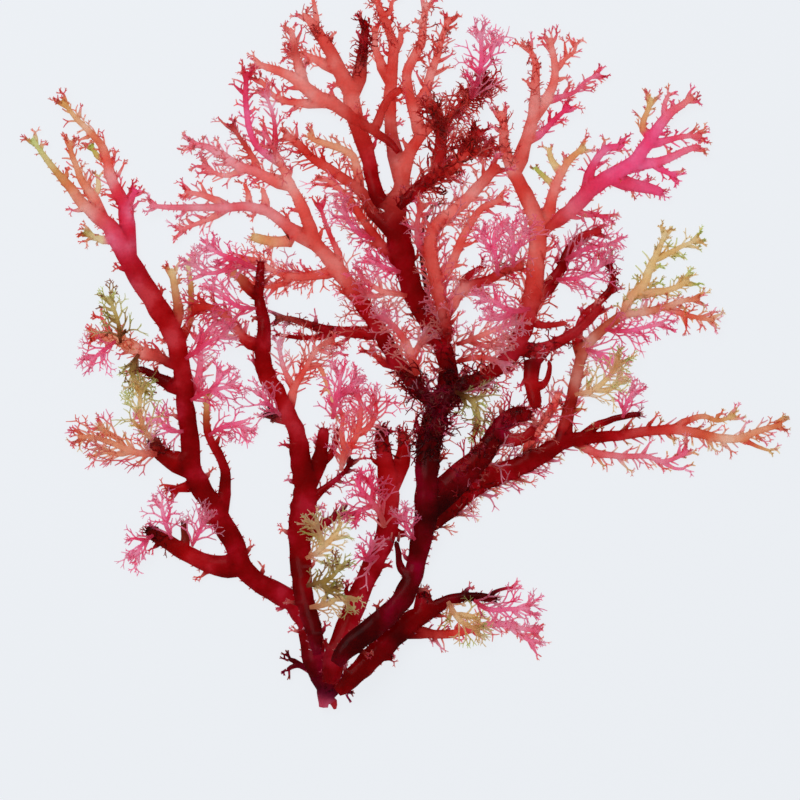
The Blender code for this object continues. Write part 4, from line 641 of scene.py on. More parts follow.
def attach(child, parent):
    """Opens a port in the parent's edge wall for the child. Returns False if there is no room for it."""
    index, outside = parent.nearest(child.points)
    start = int(np.argmax(outside > 0))
    if outside[start] <= 0 or len(child.points) - start < LEAST_POINTS:
        return False
    child.trim(start)
    index, outside = parent.nearest(child.points)
    side = 1 if cross(parent.tangents[index[0]], child.points[0] - parent.points[index[0]]) > 0 else -1
    width = child.widths[0]
    lefts = child.points + child.normals * child.widths[:, None] / 2
    rights = child.points - child.normals * child.widths[:, None] / 2
    left_index, left_out = parent.nearest(lefts)
    right_index, right_out = parent.nearest(rights)
    clear = (left_out > CLEAR_OF_PARENT) & (right_out > CLEAR_OF_PARENT) & (child.s > LEAST_RUN * width)
    if not clear.any():
        return False
    ring = int(np.argmax(clear))
    if ring > len(child.points) - 2:
        ring = len(child.points) - 1
    tangent = parent.tangents[index[0]]
    heading = unit(child.points[ring] - child.points[0])
    length = min(width / max(abs(float(cross(tangent, heading))), LEAST_SINE), LONGEST_PORT * width)
    length = min(length, MOST_OF_EDGE * (parent.s[-1] - parent.first))
    web = WEB * width
    forward = float(heading @ tangent) >= 0
    inner = right_index if forward == (side == 1) else left_index
    meet = parent.s[inner[ring]]
    low = meet - length if forward else meet
    port = free_port(parent, side, low - web / 2, low + length + web / 2, width + PORT_SHIFT)
    if port is None:
        port = free_port(parent, side, low, low + length, width + PORT_SHIFT)
    if port is None:
        return False
    child.parent, child.side, child.root, child.first = parent, side, port, float(child.s[ring])
    parent.ports[side].append(port)
    return True


class Pile:
    """How high the pile is over each cell of a grid."""

    def __init__(self):
        self.top = np.zeros(GRID_CELLS)
        x = GRID_LOW[0] + CELL * np.arange(GRID_CELLS[0])
        y = GRID_LOW[1] + CELL * np.arange(GRID_CELLS[1])
        self.x, self.y = np.meshgrid(x, y, indexing="ij")

    def window(self, point, radius):
        low = [int((point[k] - radius - GRID_LOW[k]) / CELL) for k in (0, 1)]
        high = [int((point[k] + radius - GRID_LOW[k]) / CELL) + 2 for k in (0, 1)]
        area = (slice(low[0], high[0]), slice(low[1], high[1]))
        inside = (self.x[area] - point[0]) ** 2 + (self.y[area] - point[1]) ** 2 <= radius**2
        return area, inside

    def under(self, point, radius):
        area, inside = self.window(point, radius)
        return float((self.top[area] * inside).max())

    def lay(self, blade):
        tops = blade.z + blade.thickness / 2
        for point, width, top in zip(blade.points, blade.widths, tops):
            area, inside = self.window(point, width / 2 + LAY_MARGIN)
            self.top[area] = np.where(inside, np.maximum(self.top[area], top), self.top[area])

    def needed(self, blade):
        """The least height of the blade's middle that clears what lies under it."""
        reach = blade.widths / 2 + SIDE_CLEARANCE
        unders = np.array([self.under(point, radius) for point, radius in zip(blade.points, reach)])
        return blade.thickness / 2 + unders + np.where(unders > 0, LAYER_GAP, 0)


def slope_limited(heights, s, steepest):
    """The lowest profile over these heights that is no steeper than steepest."""
    heights = heights.copy()
    for i in range(1, len(heights)):
        heights[i] = max(heights[i], heights[i - 1] - steepest * (s[i] - s[i - 1]))
    for i in range(len(heights) - 2, -1, -1):
        heights[i] = max(heights[i], heights[i + 1] - steepest * (s[i + 1] - s[i]))
    return heights


def settle(blades, pile, lifts):
    """Gives each blade its heights: over the pile, level with its parent at the root, clear of its frond."""
    need = {}
    for blade in reversed(blades):
        lift = lifts[id(blade)] * (blade.s / blade.s[-1]) ** 2
        wanted = np.maximum(need.get(id(blade), 0), pile.needed(blade) + lift)
        wanted = slope_limited(wanted, blade.s, STEEPEST)
        need[id(blade)] = wanted
        if blade.parent is not None:
            middle = sum(blade.root) / 2
            pushed = wanted[0] - STEEPEST * np.maximum(0, np.abs(blade.parent.s - middle) - blade.widths[0])
            need[id(blade.parent)] = np.maximum(need.get(id(blade.parent), 0), pushed)
    for order, blade in enumerate(blades):
        wanted = need[id(blade)]
        for other in blades[:order]:
            if other is blade.parent or other.parent is blade:
                continue
            index, outside = other.nearest(blade.points)
            close = outside < blade.widths / 2 + IN_FROND_GAP
            over = other.z[index] + (other.thickness[index] + blade.thickness) / 2 + IN_FROND_GAP
            wanted = np.where(close, np.maximum(wanted, over), wanted)
        wanted = slope_limited(wanted, blade.s, STEEPEST)
        if blade.parent is not None:
            start = blade.parent.at(sum(blade.root) / 2, blade.parent.z)
            wanted = np.maximum(wanted, start - STEEPEST * blade.s)
            wanted = np.minimum(wanted, start + STEEPEST_IN_FROND * blade.s)
        blade.z = wanted


def branchlet(parent, s, side, length, width, lean, pick):
    """A small tapering side blade whose root is at s on one edge, bending a little along its parent."""
    tangent = parent.at(s, parent.tangents)
    normal = side * np.array([-tangent[1], tangent[0]])
    root = parent.at(s, parent.points) + normal * (parent.at(s, parent.widths) / 2 + LEVEL)
    out = math.cos(lean) * tangent + math.sin(lean) * normal
    bend = tangent * length * pick.uniform(*BEND)
    points = np.array([root + out * length * t + bend * t * t for t in np.linspace(0, 1, BRANCHLET_POINTS)])
    return Blade(points, [*(width * share for share in BRANCHLET_TAPER), BRANCHLET_TIP], False)


def room_for(twig, frond, pile):
    """Whether a branchlet at its parent's height clears the pile and every other blade of its frond."""
    middle = sum(twig.root) / 2
    start = twig.parent.at(middle, twig.parent.z)
    twig.thickness = np.minimum(twig.thickness, twig.parent.at(middle, twig.parent.thickness))
    twig.z = np.full(len(twig.s), start)
    if (pile.needed(twig)[1:] > start + LEVEL).any():
        return False
    for other in frond:
        if other is twig.parent:
            _, outside = other.nearest(twig.points[TOUCHES_PARENT:])
            if (outside < IN_FROND_GAP).any():
                return False
            continue
        index, outside = other.nearest(twig.points[TOUCHES_OTHERS:])
        thick = (other.thickness[index] + twig.thickness[TOUCHES_OTHERS:]) / 2
        beside = outside < twig.widths[TOUCHES_OTHERS:] / 2 + TWIG_CLEARANCE
        if (beside & (np.abs(other.z[index] - start) - thick < TWIG_HEADROOM)).any():
            return False
    return True


def dress(blade, dressing, frond, pile, pick):
    """Grows branchlets along a blade's edges and a fork at its tip."""
    kind = {"teeth": TEETH, "comb": COMB, "bristle": BRISTLE}.get(dressing.split()[0])
    wanted = []
    if "fork" in dressing:
        shortest, longest, width, least, most = TIP_FORK
        for side in (1, -1):
            spot = blade.s[-1] - pick.uniform(*TIP_FORK_BACK)
            wanted.append((spot, side, pick.uniform(shortest, longest), width, pick.uniform(least, most)))
    if kind:
        spacing, shortest, longest, width, least, most = kind
        s = blade.first + pick.uniform(*FIRST_SPACING) * spacing
        side = pick.choice((1, -1))
        while s < blade.s[-1] - LAST_BACK:
            wanted.append((s, side, pick.uniform(shortest, longest), width, pick.uniform(least, most)))
            s += spacing * pick.uniform(*NEXT_SPACING)
            side = -side if pick.random() < CHANGE_SIDE else side
    for s, side, length, width, lean in wanted:
        width = min(width, MOST_OF_BLADE * blade.at(s, blade.widths) + WIDTH_ADDED)
        twig = branchlet(blade, s, side, length, width, math.radians(lean), pick)
        if attach(twig, blade):
            if room_for(twig, frond, pile):
                frond.append(twig)
            else:
                blade.ports[twig.side].remove(twig.root)


def lay_frond(specs, pile, thick):
    """Lays one frond on the pile. Returns its listed blades, and all its blades with the branchlets."""
    named = {}
    lifts = {}
    for name, parent, widths, route, dressing in specs:
        blade = Blade(smooth_route(route), WIDER * np.array(numbers(widths)), "blunt" in dressing)
        if parent and not attach(blade, named[parent]):
            raise ValueError(f"no room for blade {name} on {parent}")
        if thick:
            blade.thickness = np.full(len(blade.s), thick * (HOLDFAST_TAPER if parent else 1))
        elif not parent:
            blade.widths *= 1 - (1 - BASE_SHARE) * np.clip(1 - blade.s / BASE_RUN, 0, 1) ** 2
        if blade.blunt:
            left = (blade.s[-1] - blade.s) / BLUNT_RUN
            blade.widths *= 1 - (1 - BLUNT_SHARE) * np.clip(1 - left, 0, 1) ** 2
        pick = random.Random("lift " + name)
        lifts[id(blade)] = pick.uniform(0, TIP_LIFT) if blade.s[-1] > LEAST_LIFTED and not thick else 0
        named[name] = blade
    blades = list(named.values())
    settle(blades, pile, lifts)
    frond = list(blades)
    for spec, blade in zip(specs, blades):
        dress(blade, spec[4], frond, pile, random.Random("dress " + spec[0]))
    for blade in frond:
        pile.lay(blade)
    return blades, frond


def srgb(r, g, b):
    """Linear colour from screen values of 0 to 255."""
    values = np.array([r, g, b]) / 255
    return np.where(values <= 0.04045, values / 12.92, ((values + 0.055) / 1.055) ** 2.4)


COLOURS = {
    "deep": srgb(110, 0, 10),
    "crimson": srgb(154, 4, 14),
    "red": srgb(190, 24, 30),
    "coral": srgb(234, 97, 86),
    "salmon": srgb(248, 136, 125),
    "rose": srgb(238, 84, 114),
    "hot": srgb(255, 104, 152),
    "pink": srgb(255, 162, 186),
    "orange": srgb(242, 168, 132),
    "tan": srgb(240, 204, 146),
    "olive": srgb(196, 168, 96),
    "green": srgb(204, 214, 124),
    "purple": srgb(96, 6, 40),
    "brown": srgb(120, 30, 20),
}

# Nodes, or kinds of nodes by the first word of the name: colours from root to ends, then of the smallest tips
NODE_COLOUR_TABLE = """
holdfast | purple deep | brown deep
left_frond | crimson crimson red red rose salmon tan green | rose salmon coral
short_frond | crimson crimson crimson red | red rose
lower_frond | crimson crimson red salmon salmon | salmon pink
right_frond | deep crimson crimson red coral salmon orange | salmon pink tan
main_frond | deep deep deep deep deep crimson crimson coral coral salmon salmon | salmon rose coral
dark_branch | crimson red coral red | coral red rose
crossing_branch | red coral salmon salmon | rose salmon
left_crown_frond | deep red coral coral salmon salmon pink | salmon pink rose
right_crown_frond | deep crimson red coral coral salmon salmon | salmon rose pink
rose_arm | coral rose hot hot salmon | hot rose orange
inner_frond | red coral salmon salmon coral | pink hot salmon
second_frond | crimson crimson crimson red crimson | rose pink salmon
tan_brush | coral orange orange | rose coral tan hot
salmon_spray_centre | coral salmon pink | pink salmon
salmon_spray_inner | salmon salmon rose | pink hot
salmon_comb_upper | red salmon pink | pink salmon
salmon_comb_lower | red salmon pink | pink salmon
salmon_comb_trunk | coral salmon pink | pink hot
pink | rose hot pink | hot pink
hot | salmon rose hot | hot
tan | orange tan tan | tan green
olive | brown olive olive | olive green brown
"""
# Blades whose colours differ from the rest of their node, from root to tip
BLADE_COLOUR_TABLE = """
A deep crimson crimson crimson crimson crimson red red rose orange green,
B deep crimson crimson crimson red crimson crimson, C crimson crimson crimson crimson red crimson,
F crimson crimson deep crimson deep deep, E deep crimson crimson crimson red coral orange orange,
A4 crimson red brown, A4a brown brown, A7 red brown, A8 crimson deep, A9 crimson coral orange coral,
A1 rose rose salmon orange tan, A1a rose hot, A1b tan green, A2 salmon orange orange, A3 tan olive,
A11 red tan, A10 red tan, A12 rose pink, A5 crimson crimson red tan, B6 coral salmon salmon, B6a salmon pink,
B6b salmon tan, B6d salmon pink, B1 red orange, B2 red coral, B7 crimson deep, B8 crimson deep,
B3 deep brown, F1 crimson coral rose pink, F1a pink pink, F3 crimson deep, F5 deep rose, E2 red deep,
E0a coral tan, E0b coral tan, E0c coral pink, E0d pink pink, E3b red crimson, E3e salmon orange,
E4 coral salmon, D deep deep deep deep deep deep crimson crimson crimson coral coral,
G deep crimson crimson red coral coral salmon salmon pink,
H deep crimson crimson red coral coral coral salmon salmon, D17 deep crimson deep crimson, D18 crimson red,
D16 deep deep, D15 deep brown, D14 red coral salmon, D12 crimson coral coral, D12a coral orange orange,
D2 crimson red coral coral salmon, D4 coral crimson red, D5 crimson coral coral salmon, G2 salmon tan,
G9 red crimson brown, G9a red crimson, G5 rose hot rose, G6 rose pink, G8 coral rose, G4b salmon red,
H5 deep red red, H5a red crimson, H4 crimson crimson red, H2 crimson red red, H6 coral salmon tan,
H6a tan green, H6b tan tan, H1c rose pink, H1e rose hot, I1 salmon red coral, I1a crimson red,
I4 pink salmon, Rf orange tan, Rb rose hot, drop crimson red, foot rose purple deep deep
"""
# Tangles of fine curly shoots: blade, from and to as shares of its length, shoots, longest, width, colours
TANGLE_TABLE = """
D 0.4 0.54 110 7 0.65 deep deep brown crimson, D 0.54 0.66 26 4.5 0.45 deep brown red,
D17 0.15 1.0 64 4.5 0.45 rose red crimson deep, D2 0.8 1.0 22 4 0.45 red crimson,
D4 0.3 1.0 34 4.5 0.5 crimson brown red, D5 0.7 1.0 24 4 0.45 red coral crimson,
D6 0.6 1.0 24 4 0.45 red crimson coral, D7 0.4 1.0 22 4 0.45 red crimson brown,
D12 0.7 1.0 12 3.5 0.4 coral red, D2a 0.5 1.0 14 4 0.45 crimson red,
G 0.0 0.15 64 6.5 0.6 deep brown crimson deep, G9 0.4 1.0 16 3.5 0.4 crimson brown,
G4 0.5 1.0 16 4 0.45 coral red, G 0.85 1.0 20 4 0.45 rose red, H 0.0 0.14 56 6.5 0.6 deep brown crimson,
H2 0.0 0.5 24 4 0.5 deep crimson brown, H 0.84 1.0 26 4.5 0.45 crimson red brown,
H1a 0.6 1.0 18 4 0.45 red crimson, D8 0.25 1.0 50 7 0.75 brown crimson coral red,
D8b 0.1 1.0 60 6.5 0.65 red crimson coral, D8a 0.3 1.0 40 5.5 0.6 brown coral red,
D8c 0.1 1.0 14 5.5 0.6 coral rose red, C 0.9 1.0 26 4 0.5 deep brown crimson,
C1 0.7 1.0 18 4 0.45 deep brown, E 0.06 0.2 26 4.5 0.5 rose crimson red, E4 0.2 1.0 34 4 0.45 crimson rose,
E3b 0.5 1.0 16 4 0.45 crimson rose, A9 0.4 1.0 26 4 0.45 orange olive coral brown,
A7 0.5 1.0 18 4 0.45 crimson deep, A4 0.75 1.0 16 3.5 0.45 brown crimson, B3 0.2 1.0 18 3.5 0.4 deep brown,
B 0.92 1.0 10 3 0.4 crimson rose, I 0.0 0.12 16 4 0.45 crimson red, I1 0.7 1.0 16 4 0.45 red brown,
foot 0.35 0.95 20 2.2 0.4 purple deep, left_lobe 0.2 1.0 16 2.2 0.4 purple deep,
F3 0.3 1.0 16 3 0.4 deep brown
"""
# Longer shoots along part of a blade: blade, from and to as shares of its length, kind, colours
STRETCH_TABLE = """
D 0.38 0.66 lace coral salmon rose pink, D14 0.2 0.9 lace salmon pink, D17 0.3 0.95 lace rose coral pink red,
H 0.06 0.62 lace salmon pink coral rose, H4 0.2 0.9 lace rose pink, G 0.05 0.5 lace salmon coral pink,
G3 0.1 0.9 lace salmon pink, I 0.0 0.75 lace pink salmon rose, I1 0.1 0.8 lace rose salmon,
E 0.02 0.34 lace rose pink salmon, E3 0.1 0.9 comb salmon pink, E4 0.1 0.9 lace coral rose salmon,
B6 0.2 0.9 lace salmon coral, B2 0.2 0.9 lace rose salmon, D8 0.2 1.0 lace coral red rose salmon,
D8b 0.0 1.0 lace coral rose red, D8a 0.1 1.0 lace red coral, D8c 0.2 1.0 comb rose coral hot
"""


def read_nodes(table):
    """Nodes as (name, slot, blades), a blade as (name, parent, widths, route, dressing)."""
    nodes = []
    for block in table.strip().split("\n\n"):
        title, *lines = block.replace("\n  ", " ").split("\n")
        blades = []
        for line in lines:
            about, widths, route = line.split(" | ")
            name, parent, dressing = about.split(" ", 2)
            blades.append((name, parent.strip("-"), widths, route, dressing))
        nodes.append((*title.split(), blades))
    return nodes


def read_colours(table):
    """By a node's or kind's name: colours from its root to its ends, and those of its smallest tips."""
    colours = {}
    for line in table.strip().split("\n"):
        name, tones, tips = line.split(" | ")
        colours[name] = (tones.split(), tips.split())
    return colours


def read_rows(table):
    """The words of each entry of a table with commas between its entries."""
    return [entry.split() for entry in table.split(",")]


NODE_COLOURS = read_colours(NODE_COLOUR_TABLE)
BLADE_COLOURS = {blade: tones for blade, *tones in read_rows(BLADE_COLOUR_TABLE)}
TANGLES = read_rows(TANGLE_TABLE)
STRETCHES = read_rows(STRETCH_TABLE)


def along(names, share):
    """The colour at a share of the way along a row of named colours."""
    row = np.array([COLOURS[name] for name in names])
    return np.array([np.interp(share, np.linspace(0, 1, len(row)), column) for column in row.T])


class Wave:
    """A smooth wave between -1 and 1, different for each pick."""

    def __init__(self, pick, wavelength):
        self.parts = [(math.tau * pick.uniform(*WAVE_RATES) / wavelength, pick.uniform(0, math.tau))
                      for _ in range(WAVE_PARTS)]

    def at(self, s):
        return sum(math.sin(s * rate + phase) for rate, phase in self.parts) / WAVE_PARTS


class FineSkin:
    """Vertices, triangles and colours of a fine frond. A section is an edge, a raised middle and an edge."""

    def __init__(self):
        self.vertices = []
        self.faces = []
        self.colours = []
        self.cores = []

    def pair(self, blade, s, across):
        """A top and a bottom vertex at s: across is 1 at the left edge, 0 in the middle, -1 at the right."""
        width = blade.at(s, blade.widths)
        half = blade.at(s, blade.thickness) / 2
        z = blade.at(s, blade.z)
        if blade.parent is not None:
            width *= 1 + FLARE * math.exp((blade.first - s) / blade.widths[0])
        if across:
            grown = min(1, max(0, s - blade.first) / RUFFLE_RUN)
            width *= 1 + RAGGED * blade.rag[across].at(s)
            z += grown * RUFFLE * min(1, width / RUFFLE_WIDTH) * max(0, blade.ruffle[across].at(s))
            half *= EDGE_SHARE
        xy = blade.at(s, blade.points) + across * unit(blade.at(s, blade.normals)) * width / 2
        return self.add(s, xy, z, half, colour_at(blade, s), 0.0 if across else 1.0)

    def add(self, s, xy, z, half, colour, core):
        """A top and a bottom vertex, as s and their numbers. The core is 0 at an edge and 1 in the middle."""
        self.vertices += [(*xy, z + half), (*xy, z - half)]
        self.colours += [colour, colour]
        self.cores += [core, core]
        return s, len(self.vertices) - 2, len(self.vertices) - 1

    def face(self, *corners):
        for i in range(1, len(corners) - 1):
            triangle = (corners[0], corners[i], corners[i + 1])
            if len(set(triangle)) == 3:
                self.faces.append(triangle)

    def zip_lines(self, left, right):
        """Top and bottom triangles between two lines of vertex pairs."""
        i = j = 0
        while i < len(left) - 1 or j < len(right) - 1:
            if j == len(right) - 1 or (i < len(left) - 1 and left[i + 1][0] <= right[j + 1][0]):
                i += 1
                corners = (left[i - 1], right[j], left[i])
            else:
                j += 1
                corners = (left[i], right[j - 1], right[j])
            self.face(*(c[1] for c in corners))
            self.face(*(c[2] for c in reversed(corners)))

    def grow(self, blade, children, roots):
        """A blade's skin, then those of its side blades, from the ports whose vertices are in roots."""
        last = blade.s[-1]
        step = min(LONGEST_SECTION, SECTION_PER_WIDTH * blade.widths[0] + SECTION_LEAST)
        count = max(2, round((last - blade.first) / step))
        stops = [blade.first + (last - blade.first) * k / count for k in range(count)]
        if blade.parent is None:
            start = {across: self.pair(blade, stops[0], across) for across in (1, 0, -1)}
            stops = stops[1:]
            for near, far in ((1, 0), (0, -1)):
                self.face(start[near][1], start[near][2], start[far][2], start[far][1])
        else:
            start = roots[id(blade)]
        if blade.blunt:
            end = {across: self.pair(blade, last, across) for across in (1, 0, -1)}
            for near, far in ((-1, 0), (0, 1)):
                self.face(end[near][1], end[near][2], end[far][2], end[far][1])
        else:
            half = TIP_HALF * blade.thickness[-1]
            tip = self.add(last, blade.points[-1], blade.z[-1], half, colour_at(blade, last), TIP_CORE)
            end = dict.fromkeys((1, 0, -1), tip)
        lines = {0: [start[0]] + [self.pair(blade, s, 0) for s in stops] + [end[0]]}
        for side in (1, -1):
            ports = sorted(blade.ports[side])
            margin = PORT_MARGIN / 2
            kept = {s for s in stops if all(s < a - margin or s > b + margin for a, b in ports)}
            kept |= {s for a, b in ports for s in (a, (a + b) / 2, b)}
            lines[side] = [start[side]] + [self.pair(blade, s, side) for s in sorted(kept)] + [end[side]]
        self.zip_lines(lines[1], lines[0])
        self.zip_lines(lines[0], lines[-1])
        for side in (1, -1):
            line = lines[side]
            held = {child.root[0]: child for child in children.get(id(blade), ()) if child.side == side}
            k = 0
            while k < len(line) - 1:
                near, far = line[k], line[k + 1]
                child = held.get(near[0]) if k else None
                if child is not None:
                    middle, far = line[k + 1], line[k + 2]
                    roots[id(child)] = {side: (0.0, *near[1:]), 0: (0.0, *middle[1:]), -side: (0.0, *far[1:])}
                    k += 2
                    continue
                if side == 1:
                    self.face(near[1], far[1], far[2], near[2])
                else:
                    self.face(near[1], near[2], far[2], far[1])
                k += 1
        for child in children.get(id(blade), ()):
            self.grow(child, children, roots)

    def shoot(self, start, angle, rise, length, width, colours, forks, pick, curl):
        """A small shoot, its root sunk in what it grows from, that tapers, bends and forks."""
        bend = pick.uniform(-curl, curl)
        spot = np.array(start, float)
        root, tip = colours
        ending = tip if forks < 1 else root + (tip - root) / (forks + 1)
        narrow = TIP_SHARE if forks < 1 else FORK_WIDTH
        first = len(self.vertices)
        for share in SHOOT_SECTIONS:
            turned = angle + bend * share
            if share:
                spot = spot + length / 2 * np.array([math.cos(turned), math.sin(turned), rise])
                spot[2] = max(spot[2], LEAST_HEIGHT)
            half = width / 2 * (1 + (narrow - 1) * share)
            thick = max(SHOOT_DEPTH * half, LEAST_HALF)
            out = half * np.array([-math.sin(turned), math.cos(turned)])
            x, y, z = spot
            self.vertices += [(x + out[0], y + out[1], z), (x, y, z + thick), (x - out[0], y - out[1], z),
                              (x, y, z - thick)]
            self.colours += [root + (ending - root) * share] * 4
            self.cores += SHOOT_CORES * 2
        for ring in (first, first + 4):
            for k in range(4):
                after = (k + 1) % 4
                self.face(ring + after, ring + k, ring + k + 4, ring + after + 4)
        self.face(first + 3, first + 2, first + 1, first)
        self.face(first + 8, first + 9, first + 10, first + 11)
        if forks < 1:
            return
        back = FORK_BACK * width * np.array([math.cos(turned), math.sin(turned), 0])
        for side in (1, -1):
            arm = length * pick.uniform(*FORK_SHARE)
            lean = side * math.radians(pick.uniform(*FORK_ANGLE))
            left = forks - 1 if pick.random() < FORKS_AGAIN else 0
            if arm > LEAST_ARM:
                arm_rise = rise + pick.uniform(*ARM_RISE)
                self.shoot(spot - back, turned + lean, arm_rise, arm, width * FORK_WIDTH, (ending, tip), left,
                           pick, curl)


def colour_at(blade, s):
    share = s / blade.s[-1]
    if blade.tones:
        return along(blade.tones, share)
    return blade.ends[0] + (blade.ends[1] - blade.ends[0]) * share


def colour_blades(name, keyed, frond, pick):
    """Gives each blade its colours and its waves. Returns the colours of the node's smallest tips."""
    tones, tips = NODE_COLOURS.get(name) or NODE_COLOURS[name.split("_")[0]]
    keys = {id(blade): key for key, blade in keyed.items()}
    start = {id(frond[0]): 0.0}
    for blade in frond[1:]:
        start[id(blade)] = start[id(blade.parent)] + sum(blade.root) / 2
    total = max(start[id(blade)] + blade.s[-1] for blade in keyed.values())
    for blade in frond:
        key = keys.get(id(blade))
        blade.tones = None
        if key:
            blade.tones = BLADE_COLOURS.get(key, tones if blade is frond[0] else None)
            shares = (start[id(blade)] / total, (start[id(blade)] + blade.s[-1]) / total)
            blade.ends = [along(tones, share) for share in shares]
        else:
            near = colour_at(blade.parent, sum(blade.root) / 2)
            blade.ends = [near, COLOURS[pick.choice(tips)]]
        blade.rag = {side: Wave(pick, RAG_PER_WIDTH * blade.widths[0] + RAG_LEAST) for side in (1, -1)}
        blade.ruffle = {side: Wave(pick, RUFFLE_WAVE) for side in (1, -1)}
    return tips


def sprout(skin, blade, s, across, lean, length, width, forks, tips, pick, curl=CURL, fresh=0.0, lift=0.0):
    """One shoot from a blade: across is 1 on the left edge, 0 in the middle, -1 on the right edge."""
    tangent = unit(blade.at(s, blade.tangents))
    normal = np.array([-tangent[1], tangent[0]])
    wide = blade.at(s, blade.widths)
    root = blade.at(s, blade.points) + across * normal * ROOT_ACROSS * wide
    # painted light: a shoot's tint made lighter than its blade's
    tip = (COLOURS[pick.choice(tips)] * pick.uniform(*TIP_BRIGHTNESS)) ** SHOOT_LIGHT
    own = colour_at(blade, s) ** SHOOT_LIGHT
    colours = (own + (tip - own) * fresh, tip)
    height = blade.at(s, blade.z) + lift * blade.at(s, blade.thickness) / 2 + pick.uniform(*ROOT_HEIGHTS)
    skin.shoot((*root, height), math.atan2(tangent[1], tangent[0]) + lean, pick.uniform(*SHOOT_RISE), length,
               min(width, wide), colours, forks, pick, curl)


def fringe(skin, blade, kind, tips, pick, start=0.0, end=1.0, fresh=0.0):
    """Small shoots along both edges of a blade."""
    gap, shortest, longest, width, least, most, fewest, forks = FRINGES[kind]
    for side in (1, -1):
        s = max(blade.first, start * blade.s[-1]) + pick.uniform(*FIRST_GAP) * gap
        while s < end * blade.s[-1]:
            length = pick.uniform(shortest, longest) * min(1, END_LENGTH + (blade.s[-1] - s) / END_RUN)
            lean = side * math.radians(pick.uniform(least, most))
            count = pick.randint(fewest, forks)
            length /= 1 + FORKS_SHORTEN * count
            sprout(skin, blade, s, side, lean, length, width, count, tips, pick, fresh=fresh)
            s += gap * pick.uniform(*NEXT_GAP)


def tuft(skin, blade, kind, tips, pick):
    """Shoots that spread from a blade's tip."""
    shortest, longest, width, least, most, forks = kind
    for side in (1, -1, pick.choice((1, -1))):
        lean = side * math.radians(pick.uniform(least, most))
        length = pick.uniform(shortest, longest) / (1 + FORKS_SHORTEN * forks)
        s = blade.s[-1] - pick.uniform(*TUFT_BACK)
        sprout(skin, blade, s, side, lean, length, width, pick.randint(1, forks), tips, pick)


def blunt_tuft(skin, blade, tips, pick):
    """Shoots across the whole end of a blunt blade."""
    shortest, longest, width, least, most, forks = BLUNT_TIP
    for k in range(BLUNT_SHOOTS):
        across = 1 - 2 * k / (BLUNT_SHOOTS - 1)
        lean = across * math.radians(pick.uniform(least, most))
        length = pick.uniform(shortest, longest) / (1 + FORKS_SHORTEN * forks)
        s = blade.s[-1] - pick.uniform(*BLUNT_BACK)
        sprout(skin, blade, s, across, lean, length, width, pick.randint(0, forks), tips, pick)


def tangle(skin, blade, start, end, count, longest, width, tips, pick):
    """Curly shoots that leave a stretch of a blade every way and lie over it."""
    for _ in range(count):
        s = blade.s[-1] * pick.uniform(start, end)
        across = pick.uniform(-1, 1)
        length = longest * pick.uniform(*TANGLE_LENGTHS) / 2
        lift = TANGLE_LIFT * (1 - 2 * ROOT_ACROSS * abs(across) * (1 - EDGE_SHARE))
        lean = pick.uniform(-math.pi, math.pi)
        forks = pick.randint(*TANGLE_FORKS)
        sprout(skin, blade, s, across, lean, length, width, forks, tips, pick, TANGLE_CURL, lift=lift)


def fine_frond(name, specs, pile):
    """Lays a node's frond on the pile and grows its skin and shoots."""
    blades, frond = lay_frond(specs, pile, HOLDFAST_THICKNESS if name == "holdfast" else 0)
    keyed = {spec[0]: blade for spec, blade in zip(specs, blades)}
    pick = random.Random("fine " + name)
    tips = colour_blades(name, keyed, frond, pick)
    children = {}
    for blade in frond:
        if blade.parent is not None:
            children.setdefault(id(blade.parent), []).append(blade)
    skin = FineSkin()
    skin.grow(blades[0], children, {})
    skin.smooth = len(skin.faces)
    lacy = any(word in name for word in LACY)
    for spec, blade in zip(specs, blades):
        kind = spec[4].split()[0]
        if kind in FRINGES:
            fringe(skin, blade, "lace" if lacy else kind, tips, pick)
        if not blade.blunt:
            tuft(skin, blade, LACE_TIP if lacy else BLADE_TIP, tips, pick)
        elif name != "holdfast":
            blunt_tuft(skin, blade, tips, pick)
    for blade in frond[len(blades):]:
        tuft(skin, blade, TWIG_TIP, tips, pick)
    for key, start, end, kind, *colours in STRETCHES:
        if key in keyed:
            fringe(skin, keyed[key], kind, colours, pick, float(start), float(end), FRESH)
    for key, start, end, count, longest, width, *colours in TANGLES:
        if key in keyed:
            tangle(skin, keyed[key], float(start), float(end), int(count), float(longest), float(width),
                   colours, pick)
    return skin


